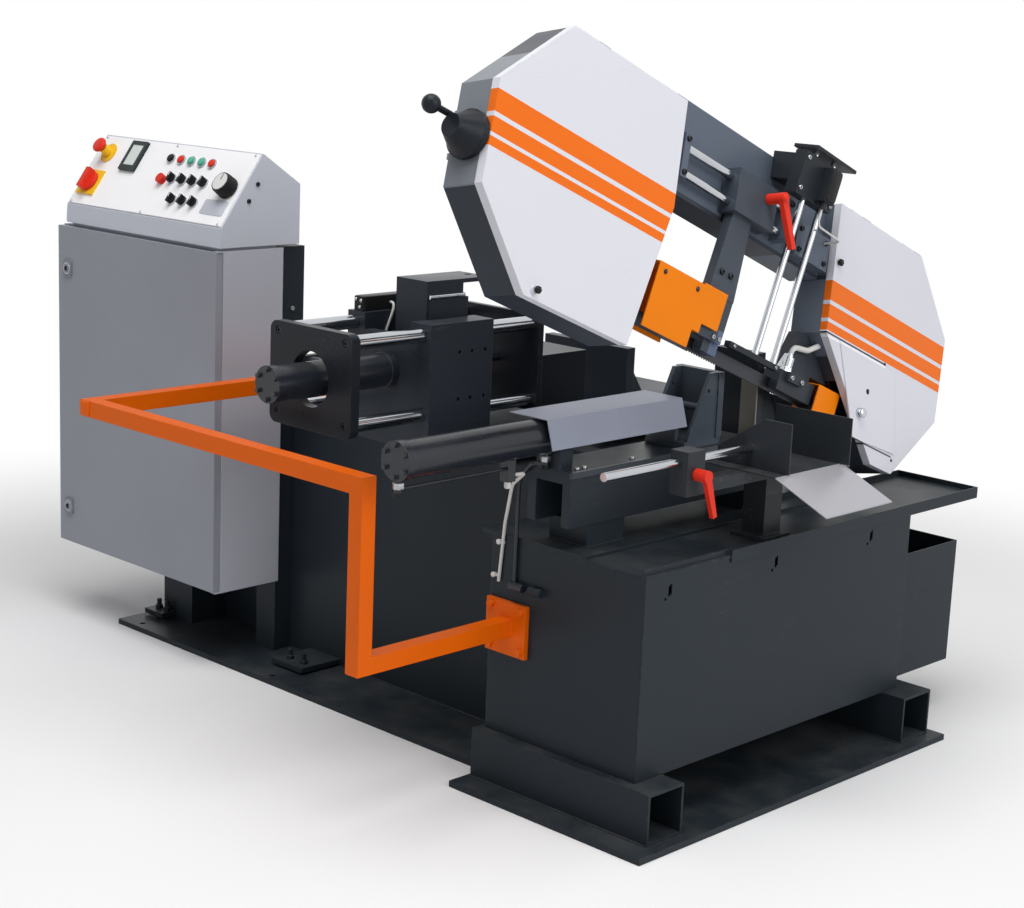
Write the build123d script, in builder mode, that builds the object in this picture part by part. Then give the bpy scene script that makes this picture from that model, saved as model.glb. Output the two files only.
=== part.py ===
from build123d import *
from math import atan2, cos, degrees, hypot, radians, sin
import os

os.makedirs("parts", exist_ok=True)

# Frame: millimetres, +Z up, origin on the floor under the fixed jaw face, in the cutting plane (Y = 0).
# The blade runs along X, the stock is fed from +Y and leaves at -Y.

# Clearances
run_gap = 0.3
shaft_gap = 0.05

# Turns that lay a cylinder along an axis
along_x = (0, 90, 0)
along_y = (-90, 0, 0)
along_z = (0, 0, 0)

# Bow: raised angle, lean of the wheel plane, pivot
bow_angle = 22
lean = 10.5
pivot_x = 321
pivot_z = 792
bow_sin = sin(radians(bow_angle))
bow_cos = cos(radians(bow_angle))
lean_sin = sin(radians(lean))
lean_cos = cos(radians(lean))

# Band wheels and blade
wheel_r = 195
wheel_w = 36
wheel_v = 289
idler_u = -1245
drive_u = 21
wheel_depth = 73
wheel_gap = 5
blade_t = 1.1
blade_w = 34
blade_v = wheel_v - wheel_r - run_gap - blade_t / 2
case_w0 = -70
case_y0 = -(blade_v * lean_sin + wheel_depth * lean_cos)
blade_line_w = case_w0 + blade_v * lean_cos - wheel_depth * lean_sin

# Bow plane: x along the bow, y up the bow, z towards the discharge side
bow_x = (bow_cos, 0, -bow_sin)
bow_up = (bow_sin, 0, bow_cos)
bow_plane = Plane(origin=(pivot_x, 0, pivot_z), x_dir=bow_x, z_dir=(0, -1, 0))
case_origin = (pivot_x + case_w0 * bow_sin, case_y0, pivot_z + case_w0 * bow_cos)
case_normal = (lean_sin * bow_sin, -lean_cos, lean_sin * bow_cos)
case_plane = Plane(origin=case_origin, x_dir=bow_x, z_dir=case_normal)
case_up = (bow_sin * lean_cos, lean_sin, bow_cos * lean_cos)


def block(x0, x1, y0, y1, z0, z1, mode=Mode.ADD):
    # A box between two corners, in the frame of the part being built
    with Locations(((x0 + x1) / 2, (y0 + y1) / 2, (z0 + z1) / 2)):
        Box(x1 - x0, y1 - y0, z1 - z0, mode=mode)


def bar(start, radius, length, turn, mode=Mode.ADD):
    # A round bar from a start point, laid along an axis
    with Locations(Location(start, turn)):
        Cylinder(radius, length, align=(Align.CENTER, Align.CENTER, Align.MIN), mode=mode)


def prism(plane, points, amount, mode=Mode.ADD):
    # A closed outline on a plane, pushed along the plane's normal
    with BuildSketch(plane) as outline:
        with BuildLine():
            Polyline(*points, close=True)
        make_face()
    extrude(outline.sketch, amount=amount, mode=mode)


def inset_prism(plane, points, inset, amount, mode=Mode.ADD):
    # The same outline drawn in by a margin
    with BuildSketch(plane) as outline:
        with BuildLine():
            Polyline(*points, close=True)
        make_face()
        offset(amount=-inset, kind=Kind.INTERSECTION, mode=Mode.REPLACE)
    extrude(outline.sketch, amount=amount, mode=mode)


def cable(points, radius, bend):
    # A round cable along straight runs that arcs join
    with BuildLine(Plane.XY) as route:
        FilletPolyline(*points, radius=bend)
    with BuildSketch(Plane(origin=route.line @ 0, z_dir=route.line % 0)) as section:
        Circle(radius)
    sweep(section.sketch, path=route.line)


def on_bow(u, w, z):
    # A point of the bow's frame, in the machine's frame
    return (bow_plane * Pos(u, w, z)).position


def write(piece, name):
    piece.part.label = name
    export_step(piece.part, f"parts/{name}.step")


# Base: two floor plates and two skid tubes
plate_t = 15
front_x0, front_x1 = -735, 468
front_y0, front_y1 = -280, 310
rear_x0, rear_x1 = -605, 430
rear_y1 = 1831
skid_size = 120
skid_wall = 6
skid_x = (-615, 375)
skid_y0, skid_y1 = -248, 300
skid_top = plate_t + skid_size
anchor_y = (1156, 1749)
anchor_r = 8

with BuildPart() as base_frame:
    block(front_x0, front_x1, front_y0, front_y1, 0, plate_t)
    block(rear_x0, rear_x1, front_y1, rear_y1, 0, plate_t)
    for x in skid_x:
        block(x - skid_size / 2, x + skid_size / 2, skid_y0, skid_y1, plate_t, skid_top)
    for x in skid_x:
        inner = skid_size / 2 - skid_wall
        block(x - inner, x + inner, skid_y0, skid_y1, plate_t + skid_wall, skid_top - skid_wall, Mode.SUBTRACT)
    for x in (rear_x0 + 27, rear_x1 - 17):
        for y in anchor_y:
            bar((x, y, -1), anchor_r, plate_t + 2, along_z, Mode.SUBTRACT)
write(base_frame, "base_frame")

# Coolant tank on the skids, with the settling tub at the drive end
tank_x0, tank_x1 = -647, 377
tank_y0, tank_y1 = -182, 285
tank_top = 604
tank_wall = 4
tub_x1 = 690
tub_y0, tub_y1 = -133, 100
tub_top = 348
sheet_t = 3
hose_port_z = 502
hose_port_r = 10

with BuildPart() as coolant_tank:
    block(tank_x0, tank_x1, tank_y0, tank_y1, skid_top, tank_top)
    block(tank_x0 + tank_wall, tank_x1 - tank_wall, tank_y0 + tank_wall, tank_y1 - tank_wall,
          skid_top + tank_wall, tank_top, Mode.SUBTRACT)
    block(tank_x1, tub_x1, tub_y0, tub_y1, skid_top, tub_top)
    block(tank_x1 + sheet_t, tub_x1 - sheet_t, tub_y0 + sheet_t, tub_y1 - sheet_t,
          skid_top + sheet_t, tub_top, Mode.SUBTRACT)
    for x in (-566, -182, 204):
        with Locations((x, tank_y0, tank_top - 42), (x + 5, tank_y0, tank_top - 38)):
            Box(7, 3 * tank_wall, 24, mode=Mode.SUBTRACT)
        bar((x - 12, tank_y0 - 2, tank_top - 58), 4, 2 * tank_wall, along_y, Mode.SUBTRACT)
    bar((tank_x0 - hose_port_r + 1, 115, hose_port_z), hose_port_r, 37, along_y)
write(coolant_tank, "coolant_tank")

# Drip tray and deck plate over the tank
tray_top = tank_top + sheet_t
deck_top = tray_top + 8
deck_y0, deck_y1 = -5, 316
lip_x0 = -355
tray_x1 = 681
tray_y1 = 60

with BuildPart() as drip_tray:
    block(tank_x0, tank_x1, tank_y0, deck_y1, tank_top, tray_top)
    block(tank_x1, tray_x1, tank_y0, tray_y1, tank_top, tray_top)
    block(lip_x0, tray_x1, tank_y0 - 4, tank_y0, tank_top - 12, tray_top + 14)
    block(tank_x0, lip_x0, tank_y0 + 8, tank_y0 + 12, tray_top, tray_top + 14)
    block(tray_x1 - 4, tray_x1, tank_y0, tray_y1, tray_top, tray_top + 14)
    block(tank_x1 + 2, tray_x1, tray_y1 - 4, tray_y1, tray_top, tray_top + 14)
    block(tank_x0, tank_x1, deck_y0, deck_y1, tray_top, deck_top)
write(drip_tray, "drip_tray")

# Chip box that stands on the settling tub and pulls out sideways
chip_top = 465
with BuildPart() as chip_box:
    low = tub_top + run_gap
    block(tank_x1 + run_gap, tub_x1, tub_y0, tub_y1, low, chip_top)
    block(tank_x1 + run_gap + sheet_t, tub_x1 - sheet_t, tub_y0 + sheet_t, tub_y1 - sheet_t,
          low + sheet_t, chip_top, Mode.SUBTRACT)
    block(tub_x1, tub_x1 + 12, -60, 40, chip_top - 40, chip_top - 37)
    block(tub_x1 + 9, tub_x1 + 12, -60, 40, chip_top - 58, chip_top - 40)
write(chip_box, "chip_box")

# Machine body: hollow stand with a step, mast and leg for the cabinet, lugs with levelling screws
body_x0, body_x1 = -385, 395
body_y0, body_y1 = 320, 1780
step_x, step_y = -345, 1320
body_top = 700
body_wall = 8
mast_x0, mast_x1 = -440, -356
mast_y0, mast_y1 = 1322, 1402
mast_wall = 6
leg_x0 = -470
leg_y0, leg_y1 = 1660, 1793
lug_low = plate_t + 6
lug_top = lug_low + 14
lugs = ((-522, body_x0, 1105, 1231), (-520, leg_x0, 1738, 1820), (body_x1, 428, 1105, 1231), (body_x1, 428, 1640, 1766))
cab_bottom = 220
cab_top = 1145
body_points = ((body_x0, body_y0), (body_x1, body_y0), (body_x1, body_y1), (step_x, body_y1),
               (step_x, step_y), (body_x0, step_y))

with BuildPart() as machine_body:
    prism(Plane.XY.offset(plate_t), body_points, body_top - plate_t)
    inset_prism(Plane.XY.offset(plate_t), body_points, body_wall, body_top - body_wall - plate_t, Mode.SUBTRACT)
    block(mast_x0, mast_x1, mast_y0, mast_y1, plate_t, cab_top)
    block(mast_x0, step_x, mast_y0, mast_y1, plate_t, body_top)
    block(mast_x0 + mast_wall, mast_x1 - mast_wall, mast_y0 + mast_wall, mast_y1 - mast_wall,
          plate_t, cab_top - mast_wall, Mode.SUBTRACT)
    block(leg_x0, step_x, leg_y0, leg_y1, plate_t, cab_bottom)
    block(leg_x0 + body_wall, step_x - body_wall, leg_y0 + body_wall, leg_y1 - body_wall,
          plate_t, cab_bottom - body_wall, Mode.SUBTRACT)
    for x0, x1, y0, y1 in lugs:
        block(x0, x1, y0, y1, lug_low, lug_top)
        screw_x = x1 - 15 if x0 == body_x1 else x0 + 34
        for y in (y0 + 0.25 * (y1 - y0), y0 + 0.7 * (y1 - y0)):
            bar((screw_x, y, plate_t), 7, 48, along_z)
            with BuildSketch(Plane.XY.offset(lug_top)) as nut:
                with Locations((screw_x, y)):
                    RegularPolygon(12, 6)
            extrude(nut.sketch, amount=10)
write(machine_body, "machine_body")

# Guard rail of square tube, bolted to the tank side and standing on the body
rail = 40
rail_x0 = -1128
rail_y0 = 203
rail_y1 = 1238
rail_low = 380
rail_top = 820
flange = 126
flange_t = 12

with BuildPart() as guard_rail:
    bar_y0 = rail_y0
    block(rail_x0, tank_x0 - flange_t, bar_y0, bar_y0 + rail, rail_low, rail_low + rail)
    block(rail_x0, rail_x0 + rail, bar_y0, bar_y0 + rail, rail_low, rail_top)
    block(rail_x0, rail_x0 + rail, bar_y0, rail_y1, rail_top - rail, rail_top)
    block(rail_x0, -330, rail_y1 - rail, rail_y1, rail_top - rail, rail_top)
    block(-370, -330, rail_y1 - rail, rail_y1, body_top + 10, rail_top - rail)
    block(-384, -316, rail_y1 - rail - 20, rail_y1 + 20, body_top, body_top + 10)
    flange_y = bar_y0 + rail / 2 - 2
    flange_z = rail_low + rail / 2 - 3
    block(tank_x0 - flange_t, tank_x0, flange_y - flange / 2, flange_y + flange / 2,
          flange_z - flange / 2, flange_z + flange / 2)
    for y in (flange_y - 48, flange_y + 48):
        for z in (flange_z - 48, flange_z + 48):
            bar((tank_x0 - flange_t - 8, y, z), 9, 8, along_x)
    for y in (rail_y1 - rail - 12, rail_y1 + 12):
        for x in (-374, -326):
            bar((x, y, body_top + 10), 6, 7, along_z)
write(guard_rail, "guard_rail")

# Control cabinet with its mounting plate
cab_x0, cab_x1 = -640, mast_x0
cab_y0, cab_y1 = 1309, 2043
door_t = 22
door_gap = 3
hinge_x, hinge_y = cab_x0 - door_t / 2, cab_y0 + 10
hinge_r = 4
hinge_len = 11

with BuildPart() as cabinet_body:
    block(cab_x0, cab_x1, cab_y0, cab_y1, cab_bottom, cab_top)
    block(cab_x0, cab_x1 - sheet_t, cab_y0 + sheet_t, cab_y1 - sheet_t, cab_bottom + sheet_t, cab_top - sheet_t,
          Mode.SUBTRACT)
    block(cab_x1 - sheet_t - 14, cab_x1 - sheet_t - 11, cab_y0 + 40, cab_y1 - 40, cab_bottom + 50, cab_top - 50)
    for y in (cab_y0 + 60, cab_y1 - 60):
        for z in (cab_bottom + 70, cab_top - 70):
            bar((cab_x1 - sheet_t - 11, y, z), 8, 11, along_x)
    for z in (cab_bottom + 330, cab_bottom + 640):
        block(cab_x1 - sheet_t - 90, cab_x1 - sheet_t - 14, cab_y0 + 90, cab_y1 - 90, z, z + 110)
    tab_t = door_gap - run_gap
    for tab_z, pin_z in ((cab_bottom, cab_bottom), (cab_top - tab_t, cab_top - door_gap - hinge_len)):
        block(hinge_x - 7, cab_x0 + 6, cab_y0, cab_y0 + 18, tab_z, tab_z + tab_t)
        bar((hinge_x, hinge_y, pin_z), hinge_r, door_gap + hinge_len, along_z)
write(cabinet_body, "cabinet_body")

# Cabinet door, hung on two pins next to the guard rail, with two quarter-turn locks
door_y0 = cab_y0 + door_gap
door_y1 = cab_y1 - door_gap
door_z0 = cab_bottom + door_gap
door_z1 = cab_top - door_gap
door_rim = 14
door_x1 = cab_x0 - run_gap
with BuildPart() as cabinet_door:
    block(cab_x0 - door_t, door_x1, door_y0, door_y1, door_z0, door_z1)
    block(cab_x0 - door_t + sheet_t, door_x1, door_y0 + door_rim, door_y1 - door_rim,
          door_z0 + door_rim, door_z1 - door_rim, Mode.SUBTRACT)
    for z in (door_z0 - 1, door_z1 - hinge_len - run_gap):
        bar((hinge_x, hinge_y, z), hinge_r + shaft_gap, hinge_len + 1 + run_gap, along_z, Mode.SUBTRACT)
    for z in (330, 1024):
        bar((cab_x0 - door_t - 7, door_y1 - 48, z), 14, 7, along_x)
        block(cab_x0 - door_t - 9, cab_x0 - door_t - 7, door_y1 - 57, door_y1 - 39, z - 3, z + 3)
write(cabinet_door, "cabinet_door")

# Console on the cabinet: sloped housing on a plinth, and white control panel
plinth_h = 8
plinth_inset = 14
console_low = cab_top + plinth_h
console_y1 = 2015
console_round = 8
slope_x0, slope_z0 = -648, 1204
slope_x1, slope_z1 = -512, 1395
console_back = -386
console_front = -652
console_points = ((console_front, console_low), (slope_x0, slope_z0), (slope_x1, slope_z1), (console_back, 1313),
                  (console_back, console_low))
slope_len = hypot(slope_x1 - slope_x0, slope_z1 - slope_z0)
slope_dir = ((slope_x1 - slope_x0) / slope_len, (slope_z1 - slope_z0) / slope_len)
slope_normal = (-slope_dir[1], 0, slope_dir[0])
slope_plane = Plane(origin=(slope_x0, 0, slope_z0), x_dir=(0, -1, 0), z_dir=slope_normal)
panel_t = 3
panel_plane = slope_plane.offset(panel_t)
side_plane = Plane.XZ.offset(-console_y1)
console_len = console_y1 - cab_y0

with BuildPart() as console:
    prism(side_plane, console_points, console_len)
    far_low = console.edges().filter_by(Axis.X).group_by(Axis.Z)[0].sort_by(Axis.Y)[-1]
    fillet(far_low, console_round)
    inset_prism(side_plane.offset(sheet_t), console_points, sheet_t, console_len - 2 * sheet_t, Mode.SUBTRACT)
    with BuildSketch(slope_plane.offset(-10)) as window:
        with Locations((-(cab_y0 + console_y1) / 2, slope_len / 2)):
            Rectangle(console_len - 30, slope_len - 30)
    extrude(window.sketch, amount=20, mode=Mode.SUBTRACT)
    block(console_front + plinth_inset, cab_x1 - plinth_inset, cab_y0 + plinth_inset, console_y1 - plinth_inset,
          cab_top, console_low + 1)
write(console, "console")

# Controls: places along the panel (Y) and up its slope
button_up = 182
selector_up = 121
low_selector_up = 59
button_y = (1664, 1618, 1573, 1527, 1482)
selector_y = (1612, 1565, 1519, 1472)
low_selector_y = (1563, 1516, 1469)
lamp_place = (1651, 114)
lamp_r = 14
lamp_h = 16
knob_place = (1359, 115)
knob_r = 30
knob_top_r = 28
knob_h = 36
estop_place = (1953, 175)
collar_r = 14
collar_h = 28
stop_travel = 5
main_place = (1957, 75)
main_half = 39
display_place = (1827, 173)
display_half = (35, 47)
display_h = 10
screen_half = 24
button_r = 11
bezel_r = 15
bezel_h = 5
selector_shank = 8
stem_r = 6

buttons = [(f"push_button_{i + 1}", y, button_up) for i, y in enumerate(button_y)]
selectors = [(f"selector_{i + 1}", y, selector_up) for i, y in enumerate(selector_y)]
selectors += [(f"selector_{i + 5}", y, low_selector_up) for i, y in enumerate(low_selector_y)]

with BuildPart(panel_plane) as console_panel:
    block(-console_y1 + 6, -cab_y0 - 6, 5, slope_len - 5, -panel_t, 0)
    for name, y, up in buttons + selectors:
        bar((-y, up, 0), bezel_r, bezel_h, along_z)
    bar((-estop_place[0], estop_place[1], 0), 30, 3, along_z)
    bar((-estop_place[0], estop_place[1], 0), collar_r, collar_h, along_z)
    block(-main_place[0] - main_half, -main_place[0] + main_half, main_place[1] - main_half, main_place[1] + main_half,
          0, 6)
    with Locations((-display_place[0], display_place[1], display_h / 2)):
        Box(2 * display_half[0], 2 * display_half[1], display_h)
    with Locations((-display_place[0], display_place[1] + 2, display_h)):
        Box(2 * screen_half, 66, 4, mode=Mode.SUBTRACT)
    bar((-lamp_place[0], lamp_place[1], 0), lamp_r, lamp_h, along_z)
    bar((-knob_place[0], knob_place[1], 0), 13, 3, along_z)
    for name, y, up in buttons:
        bar((-y, up, -20), button_r + run_gap, 40, along_z, Mode.SUBTRACT)
    for name, y, up in selectors:
        bar((-y, up, -20), selector_shank + shaft_gap, 40, along_z, Mode.SUBTRACT)
    for place in (estop_place, main_place, knob_place):
        bar((-place[0], place[1], -20), stem_r + shaft_gap, 60, along_z, Mode.SUBTRACT)
write(console_panel, "console_panel")

for name, y, up in buttons:
    with BuildPart(panel_plane) as push_button:
        bar((-y, up, -8), button_r, 17, along_z)
    write(push_button, name)

for name, y, up in selectors:
    with BuildPart(panel_plane) as selector:
        bar((-y, up, -12), selector_shank, 12 + bezel_h + run_gap, along_z)
        bar((-y, up, bezel_h + run_gap), bezel_r - 2, 4, along_z)
        block(-y - 4, -y + 4, up - bezel_r + 2, up + bezel_r - 2, bezel_h + 4, bezel_h + 15)
    write(selector, name)

with BuildPart(panel_plane) as speed_knob:
    bar((-knob_place[0], knob_place[1], -12), stem_r, 12 + 3 + run_gap, along_z)
    with Locations((-knob_place[0], knob_place[1], 3 + run_gap)):
        Cone(knob_r, knob_top_r, knob_h, align=(Align.CENTER, Align.CENTER, Align.MIN))
    bar((-knob_place[0], knob_place[1], 3 + run_gap + knob_h - 1), knob_top_r - 3, 2, along_z)
write(speed_knob, "speed_knob")

with BuildPart(panel_plane) as emergency_stop:
    head_z = collar_h + stop_travel + 1
    bar((-estop_place[0], estop_place[1], -12), stem_r, 12 + head_z + 1, along_z)
    bar((-estop_place[0], estop_place[1], head_z), 21, 14, along_z)
    fillet(emergency_stop.edges().filter_by(GeomType.CIRCLE).group_by(SortBy.RADIUS)[-1], 5)
write(emergency_stop, "emergency_stop")

with BuildPart(panel_plane) as main_switch:
    bar((-main_place[0], main_place[1], -12), stem_r, 12 + 6 + run_gap, along_z)
    bar((-main_place[0], main_place[1], 6 + run_gap), 30, 10, along_z)
    block(-main_place[0] - 9, -main_place[0] + 9, main_place[1] - 31, main_place[1] + 31, 12, 34)
write(main_switch, "main_switch")

# Main vise: bed on pedestals, with the cylinder bracket at its open end
bed_x0, bed_x1 = -656, 118
bed_y0, bed_y1 = 42, 170
bed_z0, bed_top = 669, 797
cyl_y, cyl_z = 112, 872
bore_r = 31
barrel_r = 41
cap_r = 43
cap_t = 20
cap_bolt_at = 34
piston_rod_r = 13
bracket_t = 40
bracket_half = 36
strip_t = 4

with BuildPart() as vise_bed:
    block(bed_x0, bed_x1, bed_y0, bed_y1, bed_z0, bed_top)
    block(bed_x0, bed_x1, bed_y0 + 24, bed_y1 - 24, bed_z0, bed_top - 30, Mode.SUBTRACT)
    block(bed_x0, bed_x1, bed_y0 - strip_t, bed_y0, bed_top - 14, bed_top)
    for x0, x1 in ((-586, -461), (-14, 111)):
        block(x0, x1, bed_y0 + 6, bed_y1 - 6, deck_top, bed_z0)
    block(bed_x0, bed_x0 + bracket_t, cyl_y - bracket_half, cyl_y + bracket_half, bed_top, cyl_z + bracket_half + 3)
    bar((bed_x0 - 1, cyl_y, cyl_z), piston_rod_r + shaft_gap, bracket_t + 2, along_x, Mode.SUBTRACT)
write(vise_bed, "vise_bed")


def ram_cylinder(x0, x1, y, z, rod_r):
    # Barrel between a bolted end cap and the flange that the rod runs through
    for x in (x0, x1 - cap_t):
        bar((x, y, z), cap_r, cap_t, along_x)
    bar((x0 + cap_t, y, z), barrel_r, x1 - x0 - 2 * cap_t, along_x)
    bar((x0 + cap_t, y, z), bore_r, x1 - x0 - 2 * cap_t, along_x, Mode.SUBTRACT)
    bar((x1 - cap_t - 1, y, z), rod_r + shaft_gap, cap_t + 2, along_x, Mode.SUBTRACT)
    for i in range(6):
        turn = radians(60 * i + 30)
        bar((x0 - 7, y + cap_bolt_at * cos(turn), z + cap_bolt_at * sin(turn)), 5.5, 8, along_x)


# Vise cylinder with its two ports, the valve under the barrel, and the hose down to the tank
cyl_x0 = -1120
port_low = cyl_z - cap_r - 34
valve_x0, valve_x1 = -797, -773
hose_r = 4.5
hose_bend = 45
port_x = bed_x0 - cap_t / 2
hose_x = tank_x0 - hose_r - 1.5
hose_route = ((port_x, cyl_y, 803), (port_x, 150, 803), (hose_x, 202, 752), (hose_x, 204, hose_port_z))
with BuildPart() as vise_cylinder:
    ram_cylinder(cyl_x0, bed_x0, cyl_y, cyl_z, piston_rod_r)
    for x in (cyl_x0 + cap_t / 2, port_x):
        bar((x, cyl_y, port_low), 8, 44, along_z)
    block(valve_x0, valve_x1, cyl_y - 12, cyl_y + 12, 784, cyl_z - barrel_r + 4)
    bar((cyl_x0 + cap_t / 2, cyl_y, 812), 4, valve_x0 - cyl_x0 - cap_t / 2, along_x)
    cable(hose_route, hose_r, hose_bend)
    bar((tank_x0 - hose_port_r - 1, 171, hose_port_z), hose_port_r, 40, along_y)
    block(tank_x0 - hose_port_r, tank_x0, 178, 202, hose_port_z - 6, hose_port_z + 6)
write(vise_cylinder, "vise_cylinder")

# Moving jaw with two gussets, cross rod and carrier for the roof
jaw_x = -130
jaw_y0, jaw_y1 = 42, 175
jaw_top = 972
carrier_x0 = -262
roof_low, roof_top = 852, 918
roof_t = 2
with BuildPart() as moving_jaw:
    foot_z0 = bed_top + run_gap
    block(carrier_x0, jaw_x, jaw_y0 + 4, jaw_y1 - 9, foot_z0, 815)
    block(jaw_x - 20, jaw_x, jaw_y0, jaw_y1, 815, jaw_top)
    gusset = ((jaw_x - 20, 815), (jaw_x - 20, jaw_top), (jaw_x - 46, jaw_top), (-250, 820), (-250, 815))
    for y in (jaw_y0 + 14, jaw_y1 - 9):
        prism(Plane.XZ.offset(-y), gusset, 10)
    bar((-182, jaw_y0 - 1, 930), 5, 140, along_y, Mode.SUBTRACT)
    bar((-196, jaw_y0 + 8, 890), 9, 116, along_y)
    block(carrier_x0, carrier_x0 + 12, 76, 148, 815, roof_top - roof_t)
write(moving_jaw, "moving_jaw")

with BuildPart() as piston_rod:
    bar((-880, cyl_y, cyl_z), piston_rod_r, carrier_x0 + 880, along_x)
    bar((-880, cyl_y, cyl_z), bore_r - run_gap, 26, along_x)
write(piston_rod, "piston_rod")

# Folded sheet roof over the piston rod, carried by the moving jaw
roof_x0, roof_x1 = -711, -250
roof_points = ((50, roof_low), (70, roof_top), (186, roof_top), (186, roof_top - roof_t),
               (72, roof_top - roof_t), (52, roof_low))
with BuildPart() as jaw_roof:
    prism(Plane.YZ.offset(roof_x0), roof_points, roof_x1 - roof_x0)
write(jaw_roof, "jaw_roof")

# Fixed jaw
fixed_top = 1004
with BuildPart() as fixed_jaw:
    block(0, 26, jaw_y0, jaw_y1, bed_top, fixed_top)
    block(26, 108, jaw_y0 + 8, jaw_y1 - 13, bed_top, 817)
    brace = ((26, 817), (104, 817), (26, fixed_top - 14))
    for y in (jaw_y0 + 22, jaw_y1 - 17):
        prism(Plane.XZ.offset(-y), brace, 12)
write(fixed_jaw, "fixed_jaw")

# Discharge chute: floor with lip, fence, post, arm and the clamp block of the length guide
chute_x0, chute_x1 = -280, -23
chute_y0, chute_y1 = -235, -12
chute_top = 788
fence_x = -37
guide_rod_r = 10
guide_rod_y, guide_rod_z = -130, 833
clamp_x0, clamp_x1 = -495, -435

with BuildPart() as chute:
    block(chute_x0, chute_x1, chute_y0, chute_y1, chute_top - sheet_t, chute_top)
    lip = ((chute_y0, chute_top), (-380, 725), (-380, 722), (chute_y0, chute_top - sheet_t))
    prism(Plane.YZ.offset(chute_x0), lip, chute_x1 - chute_x0)
    block(fence_x, fence_x + sheet_t, -264, -45, chute_top - 1, 900)
    block(-182, -118, -140, -76, tray_top, chute_top - sheet_t)
    block(-200, -100, -158, -58, tray_top, tray_top + 10)
    block(clamp_x1, chute_x0 + 90, guide_rod_y - 20, guide_rod_y + 20, 757, chute_top - sheet_t)
    block(clamp_x0, clamp_x1, guide_rod_y - 25, guide_rod_y + 25, 757, 858)
    bar((clamp_x0 - 1, guide_rod_y, guide_rod_z), guide_rod_r + shaft_gap, 62, along_x, Mode.SUBTRACT)
    bar((-465, guide_rod_y - 25 - 1, 806), 6 + shaft_gap, 20, along_y, Mode.SUBTRACT)
write(chute, "chute")

# Length guide: plate on a chrome rod
guide_x = -240
with BuildPart() as chute_guide:
    low = chute_top + 1
    outline = ((-242, low), (-242, 906), (-167, 906), (-36, 822), (-36, low))
    prism(Plane.YZ.offset(guide_x), outline, 4)
    bar((-745, guide_rod_y, guide_rod_z), guide_rod_r, guide_x + 745, along_x)
write(chute_guide, "chute_guide")

# Red clamp lever on the clamp block
with BuildPart() as clamp_lever:
    bar((-465, guide_rod_y - 60, 806), 6, 50, along_y)
    bar((-465, guide_rod_y - 62, 806), 14, 36, along_y)
    prism(Plane.XZ.offset(-guide_rod_y + 50), ((-474, 800), (-456, 808), (-428, 712), (-440, 708)), 12)
write(clamp_lever, "clamp_lever")

# Pivot bracket of the bow with its shaft, and the foot of the lift cylinder
pivot_r = 45
shaft_r = 25
post_y0, post_y1 = 80, 130
lug_y0, lug_y1 = 132, 160
lever_len = 170
lift_y = (lug_y0 + lug_y1) / 2
lift_x, lift_z = 157, 655
pin_r = 10
with BuildPart() as pivot_bracket:
    block(128, 400, 62, 176, deck_top, deck_top + 15)
    block(pivot_x - pivot_r, pivot_x + pivot_r, post_y0, post_y1, deck_top + 15, pivot_z)
    bar((pivot_x, post_y0, pivot_z), pivot_r, post_y1 - post_y0, along_y)
    bar((pivot_x, 44, pivot_z), shaft_r, 124, along_y)
    for y in (lug_y0 - 11, lug_y1 + 1):
        block(lift_x - 15, lift_x + 15, y, y + 10, deck_top + 15, lift_z)
        bar((lift_x, y, lift_z), 15, 10, along_y)
    bar((lift_x, lug_y0 - 11, lift_z), pin_r, lug_y1 - lug_y0 + 22, along_y)
write(pivot_bracket, "pivot_bracket")

# Lift cylinder between the bracket and the lever of the bow
tip_x = pivot_x - lever_len * bow_cos
tip_z = pivot_z + lever_len * bow_sin
lift_len = hypot(tip_x - lift_x, tip_z - lift_z)
lift_dir = ((tip_x - lift_x) / lift_len, 0, (tip_z - lift_z) / lift_len)
lift_plane = Plane(origin=(lift_x, lift_y, lift_z), x_dir=(0, 1, 0), z_dir=lift_dir)
lift_rod_r = 14
lift_r = 28
lift_top = 94
lift_low = 85
with BuildPart(lift_plane) as lift_barrel:
    bar((0, 0, 16), lift_r, lift_top - 16, along_z)
    block(-13, 13, -16, 16, 0, 24)
    bar((-13, 0, 0), 16, 26, along_x)
    bar((-14, 0, 0), pin_r + shaft_gap, 28, along_x, Mode.SUBTRACT)
    bar((0, 0, 20), lift_rod_r + shaft_gap, lift_top, along_z, Mode.SUBTRACT)
write(lift_barrel, "lift_barrel")

fork_gap = 16
with BuildPart(lift_plane) as lift_rod:
    bar((0, 0, lift_low), lift_rod_r, lift_len - 38 - lift_low, along_z)
    block(-26, 26, -13, 13, lift_len - 42, lift_len - 33)
    for side in (-1, 1):
        block(min(side * fork_gap, side * 26), max(side * fork_gap, side * 26), -13, 13, lift_len - 36, lift_len)
        bar((min(side * fork_gap, side * 26), 0, lift_len), 13, 10, along_x)
    bar((-26, 0, lift_len), 9, 52, along_x)
write(lift_rod, "lift_rod")

# Wheel cases of the bow: outlines in the leaning plane
case_low, case_high = -6, 582
back_t = 8
case_depth = wheel_depth + wheel_w / 2 + wheel_gap + back_t
cover_depth = 20
case_inset = 1
case_wall = 4
idler_outline = ((-1538, 168), (-1538, 389), (-1345, case_high), (-935, case_high), (-925, 336),
                 (-1013, case_low), (-1364, case_low))
drive_outline = ((-268, case_high), (140, case_high), (314, 408), (314, 181), (127, case_low), (24, case_low),
                 (-256, 256))
beam_u0, beam_u1 = -937, -262
beam_v0, beam_v1 = 390, 612
beam_front, beam_back = 45, 125
beam_wall = 8
guide_v = (432, 492)
guide_depth = 22
slide_r = 10
slide_u0, slide_u1 = -900, -490
carriage_v0, carriage_v1 = 250, 328
carriage_back = 130
nut_v = 270
nut_depth = 52
gear_half = 85
cover_hinge_u = (-1248, -958, -148, 112)
gear_back = 224
drive_shaft_r = 20
lead_block = (-420, -274, 402, 486)
lead_block_front = -14

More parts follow.
